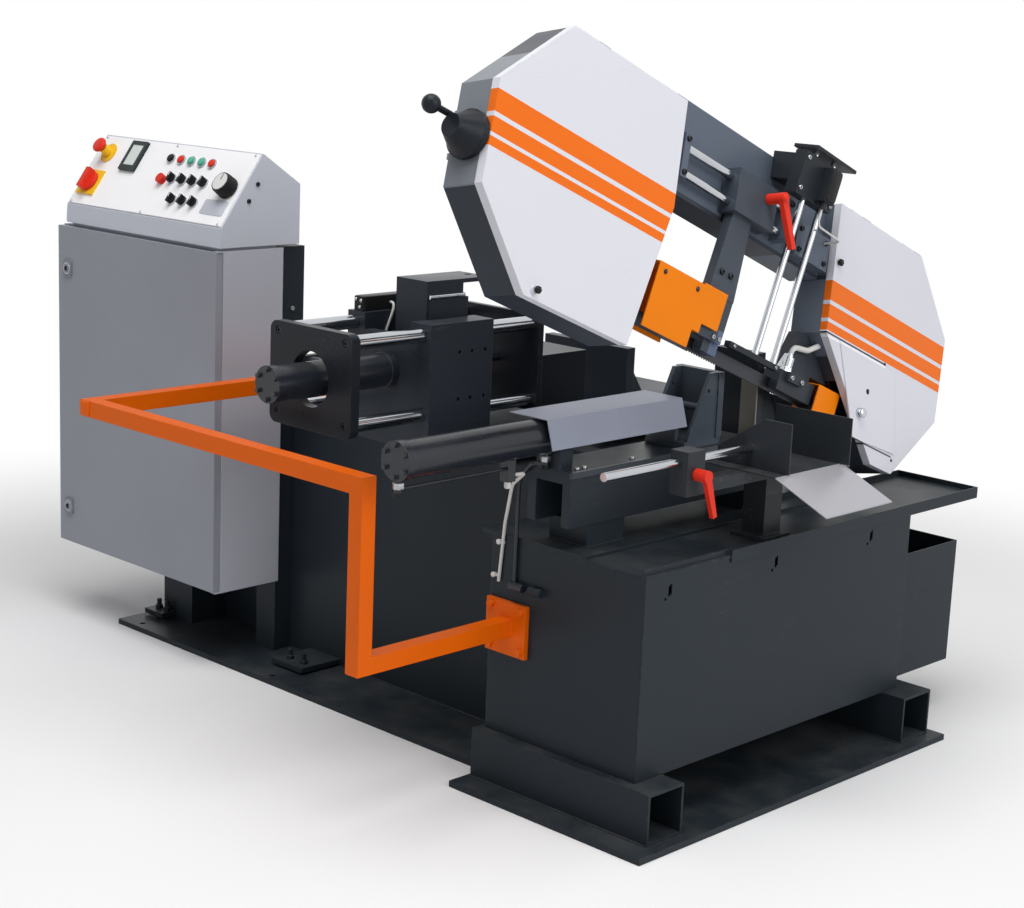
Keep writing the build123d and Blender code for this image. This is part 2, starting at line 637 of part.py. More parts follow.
with BuildPart(case_plane) as bow_frame:
    for outline in (idler_outline, drive_outline):
        inset_prism(case_plane.offset(-case_depth), outline, case_inset, case_depth - cover_depth - run_gap)
    block(beam_u0, beam_u1, beam_v0, beam_v1, -beam_back, -beam_front)
    for outline in (idler_outline, drive_outline):
        inset_prism(case_plane.offset(-case_depth + back_t), outline, case_inset + case_wall,
                    case_depth, Mode.SUBTRACT)
    block(beam_u0 + 14, beam_u1 - 14, beam_v0 + beam_wall, beam_v1 - beam_wall,
          -beam_back + beam_wall, -beam_front - beam_wall, Mode.SUBTRACT)
    upper_v = wheel_v + wheel_r
    for u in (-934, -264):
        block(u - 24, u + 24, upper_v - 28, upper_v + 28, -case_depth + back_t, -beam_front - 5, Mode.SUBTRACT)
    # Openings where the blade leaves the cases
    block(-1040, -930, 56, 152, -case_depth + back_t, -cover_depth, Mode.SUBTRACT)
    block(-215, -20, 50, 162, -case_depth + back_t, -cover_depth, Mode.SUBTRACT)
    # End blocks of the guide rods
    for u0, u1 in ((slide_u0 - 22, slide_u0), (slide_u1, slide_u1 + 22)):
        block(u0, u1, 412, 514, -beam_front, 0)
    # Block on the front of the beam, next to the drive case
    block(lead_block[0], lead_block[1], lead_block[2], lead_block[3], -beam_front - 1, lead_block_front)
    # Rails of the idler carriage and its slots in the back plate
    for v0, v1 in ((carriage_v0 - 13, carriage_v0 - run_gap), (carriage_v1 + run_gap, carriage_v1 + 13)):
        block(-1516, -1130, v0, v1, -carriage_back, -case_depth)
    block(idler_u - 38, idler_u + 30, wheel_v - 26, wheel_v + 26, -case_depth - 1, -case_depth + back_t + 1,
          Mode.SUBTRACT)
    block(-1516, -1448, nut_v - 32, nut_v + 32, -case_depth - 1, -case_depth + back_t + 1, Mode.SUBTRACT)
    bar((-1545, nut_v, -nut_depth), 10 + run_gap, 40, along_x, Mode.SUBTRACT)
    bar((drive_u, wheel_v, -case_depth - 1), 32, back_t + 2, along_z, Mode.SUBTRACT)
    # Middle knuckles of the cover hinges
    for u in cover_hinge_u:
        block(u, u + 40, case_high - 4, case_high + 4, -40, -cover_depth - run_gap)
        block(u, u + 40, case_high + run_gap, case_high + 4, -40, -cover_depth + 5)
        bar((u, case_high + 5, -cover_depth + 5), 5 - run_gap, 40, along_x)
    # Pivot lugs behind the drive case
    block(-pivot_r, pivot_r, 48, 198, -128, -case_depth + 1)
    ears = Plane(origin=(pivot_x, 0, pivot_z), x_dir=bow_x, z_dir=(0, 1, 0))
    for y0, y1 in ((40, 78), (lug_y0, lug_y1)):
        with BuildSketch(ears.offset(y0)) as lug:
            Circle(pivot_r)
            with Locations((0, -40)):
                Rectangle(2 * pivot_r, 80)
        extrude(lug.sketch, amount=y1 - y0)
    with BuildSketch(ears.offset(34)) as bridge:
        with Locations((0, -68)):
            Rectangle(2 * pivot_r, 32)
    extrude(bridge.sketch, amount=lug_y1 - 34)
    with BuildSketch(ears.offset(lug_y0 + 2)) as lever:
        with BuildLine():
            Polyline((0, -42), (-lever_len, -20), (-lever_len - 20, 0), (-lever_len, 20), (0, 42), close=True)
        make_face()
    extrude(lever.sketch, amount=lug_y1 - lug_y0 - 4)
    with BuildSketch(ears.offset(30)) as bores:
        Circle(shaft_r + shaft_gap)
        with Locations((-lever_len, 0)):
            Circle(14)
    extrude(bores.sketch, amount=140, mode=Mode.SUBTRACT)
write(bow_frame, "bow_frame")

# Covers of the wheel cases
cover_t = 2


def cover_shell(outline):
    inset_prism(case_plane.offset(-cover_depth), outline, 0.001, cover_depth)
    inset_prism(case_plane.offset(-cover_depth), outline, cover_t, cover_depth - cover_t, Mode.SUBTRACT)


def cover_knuckles(u0, u1):
    for u in (u0, u1):
        bar((u, case_high + 5, -cover_depth + 5), 5, 50, along_x)
        block(u, u + 50, case_high - 1, case_high + 5, -cover_depth + 1, -cover_depth + 9)


with BuildPart(case_plane) as idler_cover:
    cover_shell(idler_outline)
    cover_knuckles(-1300, -1010)
    bar((-1337, 12, -2), 9, 8, along_z)
write(idler_cover, "idler_cover")

panel_points = ((-194, 252), (84, 252), (128, 46), (-79, 36))
flange_points = ((-190, 250), (-186, 250), (-150, 182), (-154, 182))
panel_out = 3
with BuildPart(case_plane) as drive_cover:
    cover_shell(drive_outline)
    prism(case_plane.offset(-1), panel_points, panel_out + 1)
    prism(case_plane.offset(-44), flange_points, 44)
    cover_knuckles(-200, 60)
    bar((-38, 166, -6), 6, 12, along_z, Mode.SUBTRACT)
    bar((-68, 103, panel_out - 1), 11, 13, along_z)
write(drive_cover, "drive_cover")

# Gear unit with its motor behind the drive wheel
with BuildPart(case_plane) as gear_motor:
    block(drive_u - gear_half, drive_u + gear_half, wheel_v - gear_half, wheel_v + gear_half, -gear_back, -case_depth)
    motor_z = -(case_depth + gear_back) / 2 - 6
    bar((drive_u + gear_half, wheel_v, motor_z), 54, 20, along_x)
    bar((drive_u + gear_half + 20, wheel_v, motor_z), 64, 190, along_x)
    bar((drive_u + gear_half + 210, wheel_v, motor_z), 58, 34, along_x)
    block(drive_u + gear_half + 60, drive_u + gear_half + 150, wheel_v - 40, wheel_v + 40, motor_z - 92, motor_z - 60)
    bar((drive_u, wheel_v, -200), drive_shaft_r + shaft_gap, 200, along_z, Mode.SUBTRACT)
write(gear_motor, "gear_motor")

# Band wheels
hub_r = 46
rim_t = 22


def band_wheel(u, bore):
    back = -wheel_depth - wheel_w / 2
    bar((u, wheel_v, back), wheel_r, wheel_w, along_z)
    bar((u, wheel_v, back + 24), wheel_r - rim_t, wheel_w, along_z, Mode.SUBTRACT)
    bar((u, wheel_v, back - 1), wheel_r - rim_t, 13, along_z, Mode.SUBTRACT)
    bar((u, wheel_v, back), hub_r, wheel_w, along_z)
    with Locations((u, wheel_v, back + wheel_w / 2)):
        with PolarLocations(112, 5):
            Cylinder(34, 2 * wheel_w, mode=Mode.SUBTRACT)
    if bore:
        bar((u, wheel_v, back - 5), drive_shaft_r + shaft_gap, wheel_w + 10, along_z, Mode.SUBTRACT)


with BuildPart(case_plane) as drive_wheel:
    band_wheel(drive_u, False)
    bar((drive_u, wheel_v, -190), drive_shaft_r, 190 - wheel_depth, along_z)
write(drive_wheel, "drive_wheel")

with BuildPart(case_plane) as idler_wheel:
    band_wheel(idler_u, True)
write(idler_wheel, "idler_wheel")

# Idler carriage behind the back plate, with axle and nut arm
wheel_back = wheel_depth + wheel_w / 2
with BuildPart(case_plane) as idler_carriage:
    block(-1500, -1145, carriage_v0, carriage_v1, -carriage_back, -case_depth - run_gap)
    block(-1500, -1462, nut_v - 20, nut_v + 20, -case_depth - run_gap - 2, -nut_depth + 22)
    bar((idler_u, wheel_v, -case_depth - 2), 24, case_depth + 2 - wheel_back - run_gap, along_z)
    bar((idler_u, wheel_v, -case_depth - 2), drive_shaft_r, case_depth + 2 - 48, along_z)
    bar((-1510, nut_v, -nut_depth), 10 + shaft_gap, 60, along_x, Mode.SUBTRACT)
write(idler_carriage, "idler_carriage")

# Blade tension handle: dished hub with a ball grip, on a screw
with BuildPart(case_plane) as tension_handle:
    with Locations(Location((-1600, nut_v, -nut_depth), along_x)):
        Cone(24, 50, 47, align=(Align.CENTER, Align.CENTER, Align.MIN))
    bar((-1553, nut_v, -nut_depth), 52, 12, along_x)
    bar((-1541, nut_v, -nut_depth), 10, 71, along_x)
    bar((-1621, nut_v + 30, -nut_depth - 22), 7, 50, along_x)
    with Locations(Location((-1640, nut_v + 30, -nut_depth - 22), along_x)):
        Sphere(19.5)
write(tension_handle, "tension_handle")

# Saw blade: one loop over both wheels, twisted upright between the guides
flat_run = 56
twist_end = (-760, -200)
tooth_run = (-700, -230)
tooth_pitch = 10
tooth_depth = 3.5
with BuildPart(case_plane) as saw_blade:
    inner_r = wheel_r + run_gap
    span = drive_u - idler_u
    with BuildSketch(case_plane.offset(-wheel_depth - blade_w / 2)) as loop:
        with Locations(((drive_u + idler_u) / 2, wheel_v)):
            SlotCenterToCenter(span, 2 * (inner_r + blade_t))
            SlotCenterToCenter(span, 2 * inner_r, mode=Mode.SUBTRACT)
        with Locations(((drive_u + idler_u) / 2, wheel_v - inner_r)):
            Rectangle(span - 2 * flat_run, 60, mode=Mode.SUBTRACT)
    extrude(loop.sketch, amount=blade_w)
    turn_total = 90 - lean
    for u_wheel, u_guide in ((idler_u + flat_run, twist_end[0]), (drive_u - flat_run, twist_end[1])):
        stations = []
        for step in range(9):
            part_way = step / 8
            u = u_wheel + (u_guide - u_wheel) * part_way
            angle = radians(turn_total * part_way + lean)
            centre = (pivot_x + u * bow_cos + blade_line_w * bow_sin, 0, pivot_z - u * bow_sin + blade_line_w * bow_cos)
            width_dir = (bow_up[0] * sin(angle), -cos(angle), bow_up[2] * sin(angle))
            with BuildSketch(Plane(origin=centre, x_dir=width_dir, z_dir=bow_x)) as station:
                Rectangle(blade_w, blade_t)
            stations.append(station.sketch)
        loft(stations, ruled=True)
    low = blade_line_w - blade_w / 2
    teeth = [(twist_end[1], low + blade_w), (twist_end[0], low + blade_w), (twist_end[0], low), (tooth_run[0], low)]
    for i in range(int((tooth_run[1] - tooth_run[0]) / tooth_pitch)):
        u = tooth_run[0] + i * tooth_pitch
        teeth += [(u + 0.35 * tooth_pitch, low + tooth_depth), (u + tooth_pitch, low)]
    teeth += [(twist_end[1], low)]
    prism(bow_plane.offset(-blade_t / 2), teeth, blade_t)
write(saw_blade, "saw_blade")

# Guide rods of the sliding arm
with BuildPart(case_plane) as guide_rods:
    for v in guide_v:
        bar((slide_u0, v, -guide_depth), slide_r, slide_u1 - slide_u0, along_x)
write(guide_rods, "guide_rods")

# Guide pads that hold the blade: a cap over its back and a pad on each side
pad_low = blade_line_w - 6
pad_cap = blade_line_w + blade_w / 2 + 1
pad_top = blade_line_w + 44
pad_front, pad_back = 26, -22
pad_gap = blade_t / 2 + 0.4


def guide_pads(u0, u1):
    # In the bow frame, where z points to the discharge side
    block(u0, u1, pad_cap, pad_top, pad_back, pad_front)
    block(u0, u1, pad_low, pad_cap, pad_gap, pad_front)
    block(u0, u1, pad_low, pad_cap, pad_back, -pad_gap)


# Sliding guide arm with its block on the rods
block_u0, block_u1 = -707, -547
block_v0, block_v1 = 408, 512
arm_front, arm_back = 40, 16
lever_hub = (-583, 478)
with BuildPart(bow_plane) as guide_arm:
    guide_pads(-687, -628)
    block(-740, -640, 30, 146, arm_back, arm_front)
    block(-687, -640, 30, pad_top, 10, arm_front)
    prism(case_plane.offset(-34), ((-691, 410), (-617, 410), (-640, 206), (-740, 206)), 24)
    prism(case_plane.offset(-43), ((block_u0, block_v0), (block_u1, block_v0), (block_u1, block_v1),
                                   (block_u0, block_v1)), 47)
    with BuildSketch(case_plane.offset(-10)) as stud_hole:
        with Locations(lever_hub):
            Circle(6 + shaft_gap)
    extrude(stud_hole.sketch, amount=50, mode=Mode.SUBTRACT)
    for v in guide_v:
        centre = (case_plane * Pos(block_u0 - 5, v, -guide_depth)).position
        with BuildSketch(Plane(origin=centre, z_dir=bow_x)) as rod_hole:
            Circle(slide_r + shaft_gap)
        extrude(rod_hole.sketch, amount=block_u1 - block_u0 + 10, mode=Mode.SUBTRACT)
write(guide_arm, "guide_arm")

# Red lever that locks the arm
with BuildPart(case_plane) as arm_lever:
    bar((lever_hub[0], lever_hub[1], -9), 6, 59, along_z)
    bar((lever_hub[0], lever_hub[1], 4 + run_gap), 13, 48, along_z)
    prism(case_plane.offset(38), ((-593, 472), (-574, 484), (-512, 378), (-526, 370)), 13)
write(arm_lever, "arm_lever")

# Orange blade guard that rides with the sliding arm
guard_front, guard_back = 52, -30
guard_low = blade_line_w - 21
guard_high = blade_line_w + 127
guard_u0 = -940
with BuildPart(bow_plane) as blade_guard_left:
    block(guard_u0, -768, guard_low, guard_high, guard_back, guard_front - 2)
    block(guard_u0, -768, guard_low, guard_high - 3, guard_back + 3, guard_front - 5, Mode.SUBTRACT)
    block(-768, -678, 52, 140, guard_front - 5, guard_front - 2)
    block(-768, -741, 30, 135, arm_back, guard_front - 2)
    block(-768, -744, 27, 132, arm_back, guard_front - 5, Mode.SUBTRACT)
write(blade_guard_left, "blade_guard_left")

# Fixed guide: pads on a bracket against the slanted face of the drive case, with the coolant fitting and its hose
fixed_u0, fixed_u1 = -365, -215
corner, corner_low = drive_outline[6], drive_outline[5]
slant = hypot(corner_low[0] - corner[0], corner_low[1] - corner[1])
slant_u = (corner_low[1] - corner[1]) / slant
slant_v = (corner[0] - corner_low[0]) / slant
slant_normal = tuple(slant_u * a + slant_v * b for a, b in zip(bow_x, case_up))
slant_seat = (case_plane * Pos(corner[0] - case_inset * slant_u, corner[1] - case_inset * slant_v, 0)).position
slant_plane = Plane(origin=slant_seat, z_dir=slant_normal)
bracket_rear, bracket_front = -86, -54
bracket_points = ((-340, 120), (-340, 150), (-290, 250), (-180, 250), (-130, 152), (-220, 152), (-220, 120))
fitting_u, fitting_z = -326, 9
fitting_h = 38
coolant_r = 7
coolant_bend = 20
coolant_route = ((fitting_u, pad_top + fitting_h, fitting_z), (fitting_u, pad_top + fitting_h + 26, fitting_z),
                 (-262, pad_top + 74, fitting_z), (-190, pad_top + 118, fitting_z))
with BuildPart(bow_plane) as fixed_guide:
    guide_pads(fixed_u0, fixed_u1)
    block(fixed_u0 + 20, fixed_u0 + 85, 30, pad_top, 10, arm_front)
    prism(case_plane.offset(bracket_rear), bracket_points, bracket_front - bracket_rear)
    bar((fitting_u, pad_top - 1, fitting_z), 14, fitting_h, (-90, 0, 0))
    bar((fitting_u, pad_top + fitting_h - 2, fitting_z), 9, 8, (-90, 0, 0))
    cable([on_bow(*point) for point in coolant_route], coolant_r, coolant_bend)
    split(bisect_by=slant_plane, keep=Keep.TOP)
write(fixed_guide, "fixed_guide")

# Orange guard between the fixed guide and the drive case
short_u0, short_u1 = -215, drive_u - wheel_r + 56
short_high = blade_line_w + 50
with BuildPart(bow_plane) as blade_guard_right:
    block(short_u0, short_u1, guard_low, short_high, guard_back + 8, guard_front - 12)
    block(short_u0, short_u1, guard_low, short_high - 3, guard_back + 11, guard_front - 15, Mode.SUBTRACT)
write(blade_guard_right, "blade_guard_right")

# Height feeler: two rods in a head block, foot bar and cross plate
feeler_u = (-490, -412)
feeler_r = 8
feeler_z = 30
head_w0, head_w1 = 436, 540
foot_w = 36
foot_h = 14
bridge_w = head_w1 + 12
with BuildPart(bow_plane) as height_feeler:
    for u in feeler_u:
        bar((u, foot_w + foot_h - 2, feeler_z), feeler_r, bridge_w + 2 - foot_w - foot_h + 2, (-90, 0, 0))
    block(-610, -400, foot_w, foot_w + foot_h, feeler_z - 3, feeler_z + 14)
    block(-530, -356, bridge_w, bridge_w + 8, feeler_z - 40, feeler_z + 30)
write(height_feeler, "height_feeler")

# Head of the feeler on the beam, with its gland and the lead to the block beside it
gland_u, gland_z = -450, 63
lead_end = (-300, 468)
lead_route = [on_bow(gland_u, head_w0 + 4, gland_z), on_bow(gland_u, head_w0 - 46, gland_z)]
lead_route += [(case_plane * Pos(*lead_end, lead_block_front + away)).position for away in (48, run_gap)]
with BuildPart(bow_plane) as feeler_head:
    block(-548, -395, head_w0, head_w1, 14, 48)
    block(-520, -420, (head_w0 + head_w1) / 2 - 14, head_w1, -110, 14)
    split(bisect_by=case_plane.offset(-beam_front), keep=Keep.TOP)
    for u in feeler_u:
        bar((u, head_w0 - 5, feeler_z), feeler_r + shaft_gap, head_w1 - head_w0 + 10, (-90, 0, 0), Mode.SUBTRACT)
    block(-470, -430, head_w0 + 10, head_w1 - 14, 48, 78)
    bar((gland_u, head_w0 - 6, gland_z), 9, 20, (-90, 0, 0))
    cable(lead_route, 2.5, 22)
write(feeler_head, "feeler_head")

# Feed bed: two rails on the body and the stroke cylinder between them
rail_height = 45
feed_rail_x = (-262, 262)
feed_rail_w = 60
stroke_y0, stroke_y1 = 780, 1720
with BuildPart() as feed_bed:
    for x in feed_rail_x:
        block(x - feed_rail_w / 2, x + feed_rail_w / 2, body_y0 + 10, body_y1 - 10, body_top, body_top + rail_height)
    for y in (stroke_y0, stroke_y1):
        block(-40, 40, y - 20, y, body_top, body_top + 56)
    bar((0, stroke_y0, body_top + 28), 24, stroke_y1 - 20 - stroke_y0, along_y)
write(feed_bed, "feed_bed")

# Feed carriage on the rails: two bored columns, the plate of the cylinder, a riser with its top plate, the fixed jaw
feed_y0, feed_y1 = 460, 750
feed_x0, feed_x1 = -697, 380
feed_plate_z = 770
feed_plate_top = 800
feed_block_x1 = -493
feed_block_top = 1072
feed_rod_y = (488, 722)
feed_rod_z = (857, 1046)
feed_rod_r = 17
column_y = 528
far_column_y = 690
flange_plate_t = 30
riser_x0, riser_x1 = -649, -531
riser_y1 = 634
riser_top = 1152
feed_cyl_y, feed_cyl_z = 606, 948
feed_piston_r = 14
with BuildPart() as feed_carriage:
    block(feed_x0, feed_x1, feed_y0, feed_y1, feed_plate_z, feed_plate_top)
    for x in feed_rail_x:
        half = feed_rail_w / 2
        block(x - half - 20, x + half + 20, feed_y0 + 10, feed_y1 - 10, body_top + 14, feed_plate_z)
        block(x - half - run_gap, x + half + run_gap, feed_y0, feed_y1, body_top, body_top + rail_height + run_gap,
              Mode.SUBTRACT)
    for y0, y1 in ((feed_y0, column_y), (far_column_y, feed_y1)):
        block(feed_x0, feed_block_x1, y0, y1, feed_plate_top, feed_block_top)
    block(feed_x0, feed_x0 + flange_plate_t, column_y, far_column_y, feed_plate_top, feed_block_top - 40)
    block(riser_x0, riser_x1, column_y, riser_y1, feed_plate_top, riser_top)
    block(riser_x0, -442, column_y, riser_y1, riser_top, riser_top + 10)
    for y in feed_rod_y:
        for z in feed_rod_z:
            bar((feed_x0 - 1, y, z), feed_rod_r + shaft_gap, feed_block_x1 - feed_x0 + 2, along_x, Mode.SUBTRACT)
    bar((feed_x0 - 1, feed_cyl_y, feed_cyl_z), feed_piston_r + shaft_gap, 230, along_x, Mode.SUBTRACT)
    block(riser_x0 + 5, riser_x1 + 10, column_y - 8, column_y, feed_block_top, feed_block_top + 48)
    for x in (-602, -562, -518):
        for z in (889, 1001):
            bar((x, feed_y0 - 1, z), 5, 16, along_y, Mode.SUBTRACT)
    block(0, 30, feed_y0, feed_y1, feed_plate_top, 955)
    for y in (feed_y0 + 40, feed_y1 - 28):
        prism(Plane.XZ.offset(-y), ((30, feed_plate_top), (120, feed_plate_top), (30, 930)), 12)
write(feed_carriage, "feed_carriage")

feed_cyl_x0 = -1059
with BuildPart() as feed_vise_cylinder:
    ram_cylinder(feed_cyl_x0, feed_x0, feed_cyl_y, feed_cyl_z, feed_piston_r)
write(feed_vise_cylinder, "feed_vise_cylinder")

# Feed jaw frame: end plate, far plate with the jaw, four rods and the piston rod
end_plate_x0, end_plate_x1 = -935, -910
far_plate_x0, far_plate_x1 = -331, -315
frame_y0, frame_y1 = 462, 748
frame_z0, frame_z1 = 828, 1068
feed_jaw_x = -135
with BuildPart() as feed_jaw_plates:
    with BuildSketch(Plane.YZ.offset(end_plate_x0)) as end_plate:
        with Locations((feed_cyl_y, (frame_z0 + frame_z1) / 2)):
            RectangleRounded(frame_y1 - frame_y0, frame_z1 - frame_z0, 22)
        with Locations((feed_cyl_y, feed_cyl_z)):
            Circle(65, mode=Mode.SUBTRACT)
    extrude(end_plate.sketch, amount=end_plate_x1 - end_plate_x0)
    for y in feed_rod_y:
        for z in feed_rod_z:
            bar((end_plate_x0 - 1, y, z), 9, 10, along_x, Mode.SUBTRACT)
    block(far_plate_x0, far_plate_x1, frame_y0, frame_y1, frame_z0, frame_z1)
    block(far_plate_x1, feed_jaw_x, 480, 730, 832, 962)
    block(far_plate_x1, feed_jaw_x - 22, 492, 718, 832, 950, Mode.SUBTRACT)
write(feed_jaw_plates, "feed_jaw_plates")

with BuildPart() as feed_jaw_rods:
    for y in feed_rod_y:
        for z in feed_rod_z:
            bar((end_plate_x1, y, z), feed_rod_r, far_plate_x0 - end_plate_x1, along_x)
    bar((-880, feed_cyl_y, feed_cyl_z), feed_piston_r, far_plate_x0 + 880, along_x)
    bar((-880, feed_cyl_y, feed_cyl_z), bore_r - run_gap, 24, along_x)
write(feed_jaw_rods, "feed_jaw_rods")

# Sensor cable from the valve under the vise cylinder, clipped down the tank side
cable_r = 4
cable_bend = 40
cable_x = tank_x0 - cable_r
cable_z = 795
cable_route = ((valve_x1, cyl_y, cable_z), (valve_x1 + 43, cyl_y, cable_z), (cable_x - 14, 212, 740),
               (cable_x, 243, 640), (cable_x, 256, 500))
clips = ((258, 243, 594), (271, 255, 513))
with BuildPart() as sensor_cables:
    cable(cable_route, cable_r, cable_bend)
    for y, cable_y, z in clips:
        bar((tank_x0 - 9, y, z), 5, 9, along_x)
        block(tank_x0 - 5, tank_x0, cable_y, y, z - 3, z + 3)
write(sensor_cables, "sensor_cables")
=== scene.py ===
from math import cos, pi, radians, sin

import bpy
import numpy as np
from mathutils import Matrix, Vector


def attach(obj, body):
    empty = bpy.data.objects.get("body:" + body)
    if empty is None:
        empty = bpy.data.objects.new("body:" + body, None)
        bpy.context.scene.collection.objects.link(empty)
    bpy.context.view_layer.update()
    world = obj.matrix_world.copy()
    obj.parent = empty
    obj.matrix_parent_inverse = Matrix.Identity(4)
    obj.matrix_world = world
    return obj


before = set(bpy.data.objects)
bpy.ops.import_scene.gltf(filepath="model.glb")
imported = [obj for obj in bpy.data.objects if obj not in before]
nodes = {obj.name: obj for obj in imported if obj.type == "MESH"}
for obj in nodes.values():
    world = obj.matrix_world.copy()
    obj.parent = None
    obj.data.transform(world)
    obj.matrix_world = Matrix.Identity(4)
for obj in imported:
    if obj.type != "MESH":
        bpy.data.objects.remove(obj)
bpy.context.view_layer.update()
scene = bpy.context.scene
scene.view_settings.view_transform = "Standard"
print("frame loaded with", len(nodes), "nodes")

# The bow's own axes: along it, up it, and out of the leaning wheel plane
bow = dict(angle=22, lean=10.5, pivot=(0.321, 0, 0.792), caseDrop=0.07, caseFront=-0.08875)
bowTurn, bowLean = radians(bow["angle"]), radians(bow["lean"])
bowAlong = np.array([cos(bowTurn), 0, -sin(bowTurn)])
bowUp = np.array([sin(bowTurn), 0, cos(bowTurn)])
caseUp = bowUp * cos(bowLean) + np.array([0, sin(bowLean), 0])
caseOut = np.cross(bowAlong, caseUp)
bowOrigin = np.array(bow["pivot"])
caseOrigin = bowOrigin - bow["caseDrop"] * bowUp + np.array([0, bow["caseFront"], 0])
caseAxes = (caseOrigin, bowAlong, caseUp, caseOut)
bowAxes = (bowOrigin, bowAlong, bowUp, np.array([0, -1.0, 0]))
worldAxes = (np.zeros(3), np.array([1.0, 0, 0]), np.array([0, 1.0, 0]), np.array([0, 0, 1.0]))

# The console's slope: along the panel towards -Y, up the slope, out of it
slope = dict(low=(-0.648, 0, 1.204), high=(-0.512, 0, 1.395), panel=0.003)
slopeUp = np.subtract(slope["high"], slope["low"])
slopeUp = slopeUp / np.linalg.norm(slopeUp)
slopeAlong = np.array([0, -1.0, 0])
slopeOut = np.cross(slopeAlong, slopeUp)
panelAxes = (np.array(slope["low"]) + slope["panel"] * slopeOut, slopeAlong, slopeUp, slopeOut)


def toFrame(axes, points):
    # Local points to the shared frame: origin plus each coordinate along its own axis
    origin, a, b, c = axes
    p = np.asarray(points, float)
    return origin + p[..., 0:1] * a + p[..., 1:2] * b + p[..., 2:3] * c


def movedTo(axes, place):
    # The same axes with their origin at a local point
    return (toFrame(axes, np.array(place)),) + tuple(axes[1:])


def facing(place, out, up=(0, 0, 1)):
    # Axes at a point: the third looks out, the second is as near to up as it can be
    c = np.array(out, float)
    c = c / np.linalg.norm(c)
    a = np.cross(np.array(up, float), c)
    a = a / np.linalg.norm(a)
    return (np.array(place, float), a, np.cross(c, a), c)


def upward(place):
    # Axes at a point that look straight up
    return facing(place, (0, 0, 1), (0, 1, 0))


def linear(colour):
    # A colour written 0 to 255, as the screen shows it, to the shader's linear values
    c = np.array(colour) / 255
    c = np.where(c > 0.04045, ((c + 0.055) / 1.055) ** 2.4, c / 12.92)
    return (float(c[0]), float(c[1]), float(c[2]), 1)


def put(tree, kind, settings=None, **sockets):
    # One shader node; a socket is named with _ for spaces or by its number, and takes a value or a link
    made = tree.nodes.new("ShaderNode" + kind)
    for key, value in (settings or {}).items():
        setattr(made, key, value)
    for key, value in sockets.items():
        byNumber = key[0] == "n" and key[1:].isdigit()
        socket = made.inputs[int(key[1:]) if byNumber else key.replace("_", " ")]
        if isinstance(value, bpy.types.NodeSocket):
            tree.links.new(value, socket)
        else:
            socket.default_value = value
    return made


def newGroup(name, ins, outs):
    # An empty shader node group with its named inputs and outputs
    tree = bpy.data.node_groups.new(name, "ShaderNodeTree")
    for label, value in ins.items():
        kind = "NodeSocketVector" if isinstance(value, tuple) else "NodeSocketFloat"
        socket = tree.interface.new_socket(label, in_out="INPUT", socket_type=kind)
        socket.default_value = value
    for label, kind in outs.items():
        tree.interface.new_socket(label, in_out="OUTPUT", socket_type="NodeSocket" + kind)
    return tree, tree.nodes.new("NodeGroupInput"), tree.nodes.new("NodeGroupOutput")


def ramp(tree, value, low, high, first=0.0, last=1.0):
    # First at the low value, last at the high one, straight between them
    return put(tree, "MapRange", Value=value, n1=low, n2=high, n3=first, n4=last).outputs[0]


def times(tree, first, second):
    # Product of two masks
    return put(tree, "Math", dict(operation="MULTIPLY", use_clamp=True), n0=first, n1=second).outputs[0]


def makeGrainGroup():
    # Cloudy shade and fine orange peel of sprayed paint
    ins = dict(Cloud=3.0, Peel=900.0)
    tree, start, end = newGroup("paintGrain", ins, dict(Shade="Float", Height="Float"))
    place = put(tree, "TexCoord").outputs["Object"]
    cloud = put(tree, "TexNoise", Vector=place, Scale=start.outputs["Cloud"], Detail=4.0)
    peel = put(tree, "TexNoise", Vector=place, Scale=start.outputs["Peel"], Detail=2.0)
    tree.links.new(cloud.outputs["Fac"], end.inputs["Shade"])
    tree.links.new(peel.outputs["Fac"], end.inputs["Height"])
    return tree


def makeEdgeGroup():
    # Rounded edges: the bevelled normal, and a broken mask where it leaves the flat one
    ins = dict(Radius=0.002, Wear=0.5)
    tree, start, end = newGroup("edgeWear", ins, dict(Mask="Float", Normal="Vector"))
    soft = put(tree, "Bevel", dict(samples=6), Radius=start.outputs["Radius"])
    flat = put(tree, "NewGeometry").outputs["Normal"]
    near = put(tree, "VectorMath", dict(operation="DOT_PRODUCT"), n0=soft.outputs["Normal"], n1=flat)
    turn = ramp(tree, near.outputs["Value"], 0.995, 0.9)
    place = put(tree, "TexCoord").outputs["Object"]
    chips = put(tree, "TexNoise", Vector=place, Scale=45.0, Detail=6.0, Roughness=0.7)
    broken = ramp(tree, chips.outputs["Fac"], 0.5, 0.68)
    mask = times(tree, times(tree, turn, broken), start.outputs["Wear"])
    tree.links.new(mask, end.inputs["Mask"])
    tree.links.new(soft.outputs["Normal"], end.inputs["Normal"])
    return tree


def makeDustGroup():
    # Workshop dust: patches of noise kept on faces that look up
    tree, start, end = newGroup("workshopDust", dict(Amount=0.3), dict(Mask="Float"))
    up = put(tree, "SeparateXYZ", Vector=put(tree, "NewGeometry").outputs["Normal"])
    above = ramp(tree, up.outputs["Z"], 0.5, 1.0)
    place = put(tree, "TexCoord").outputs["Object"]
    patch = put(tree, "TexNoise", Vector=place, Scale=7.0, Detail=8.0, Roughness=0.65)
    thick = ramp(tree, patch.outputs["Fac"], 0.4, 0.75)
    mask = times(tree, times(tree, above, thick), start.outputs["Amount"])
    tree.links.new(mask, end.inputs["Mask"])
    return tree


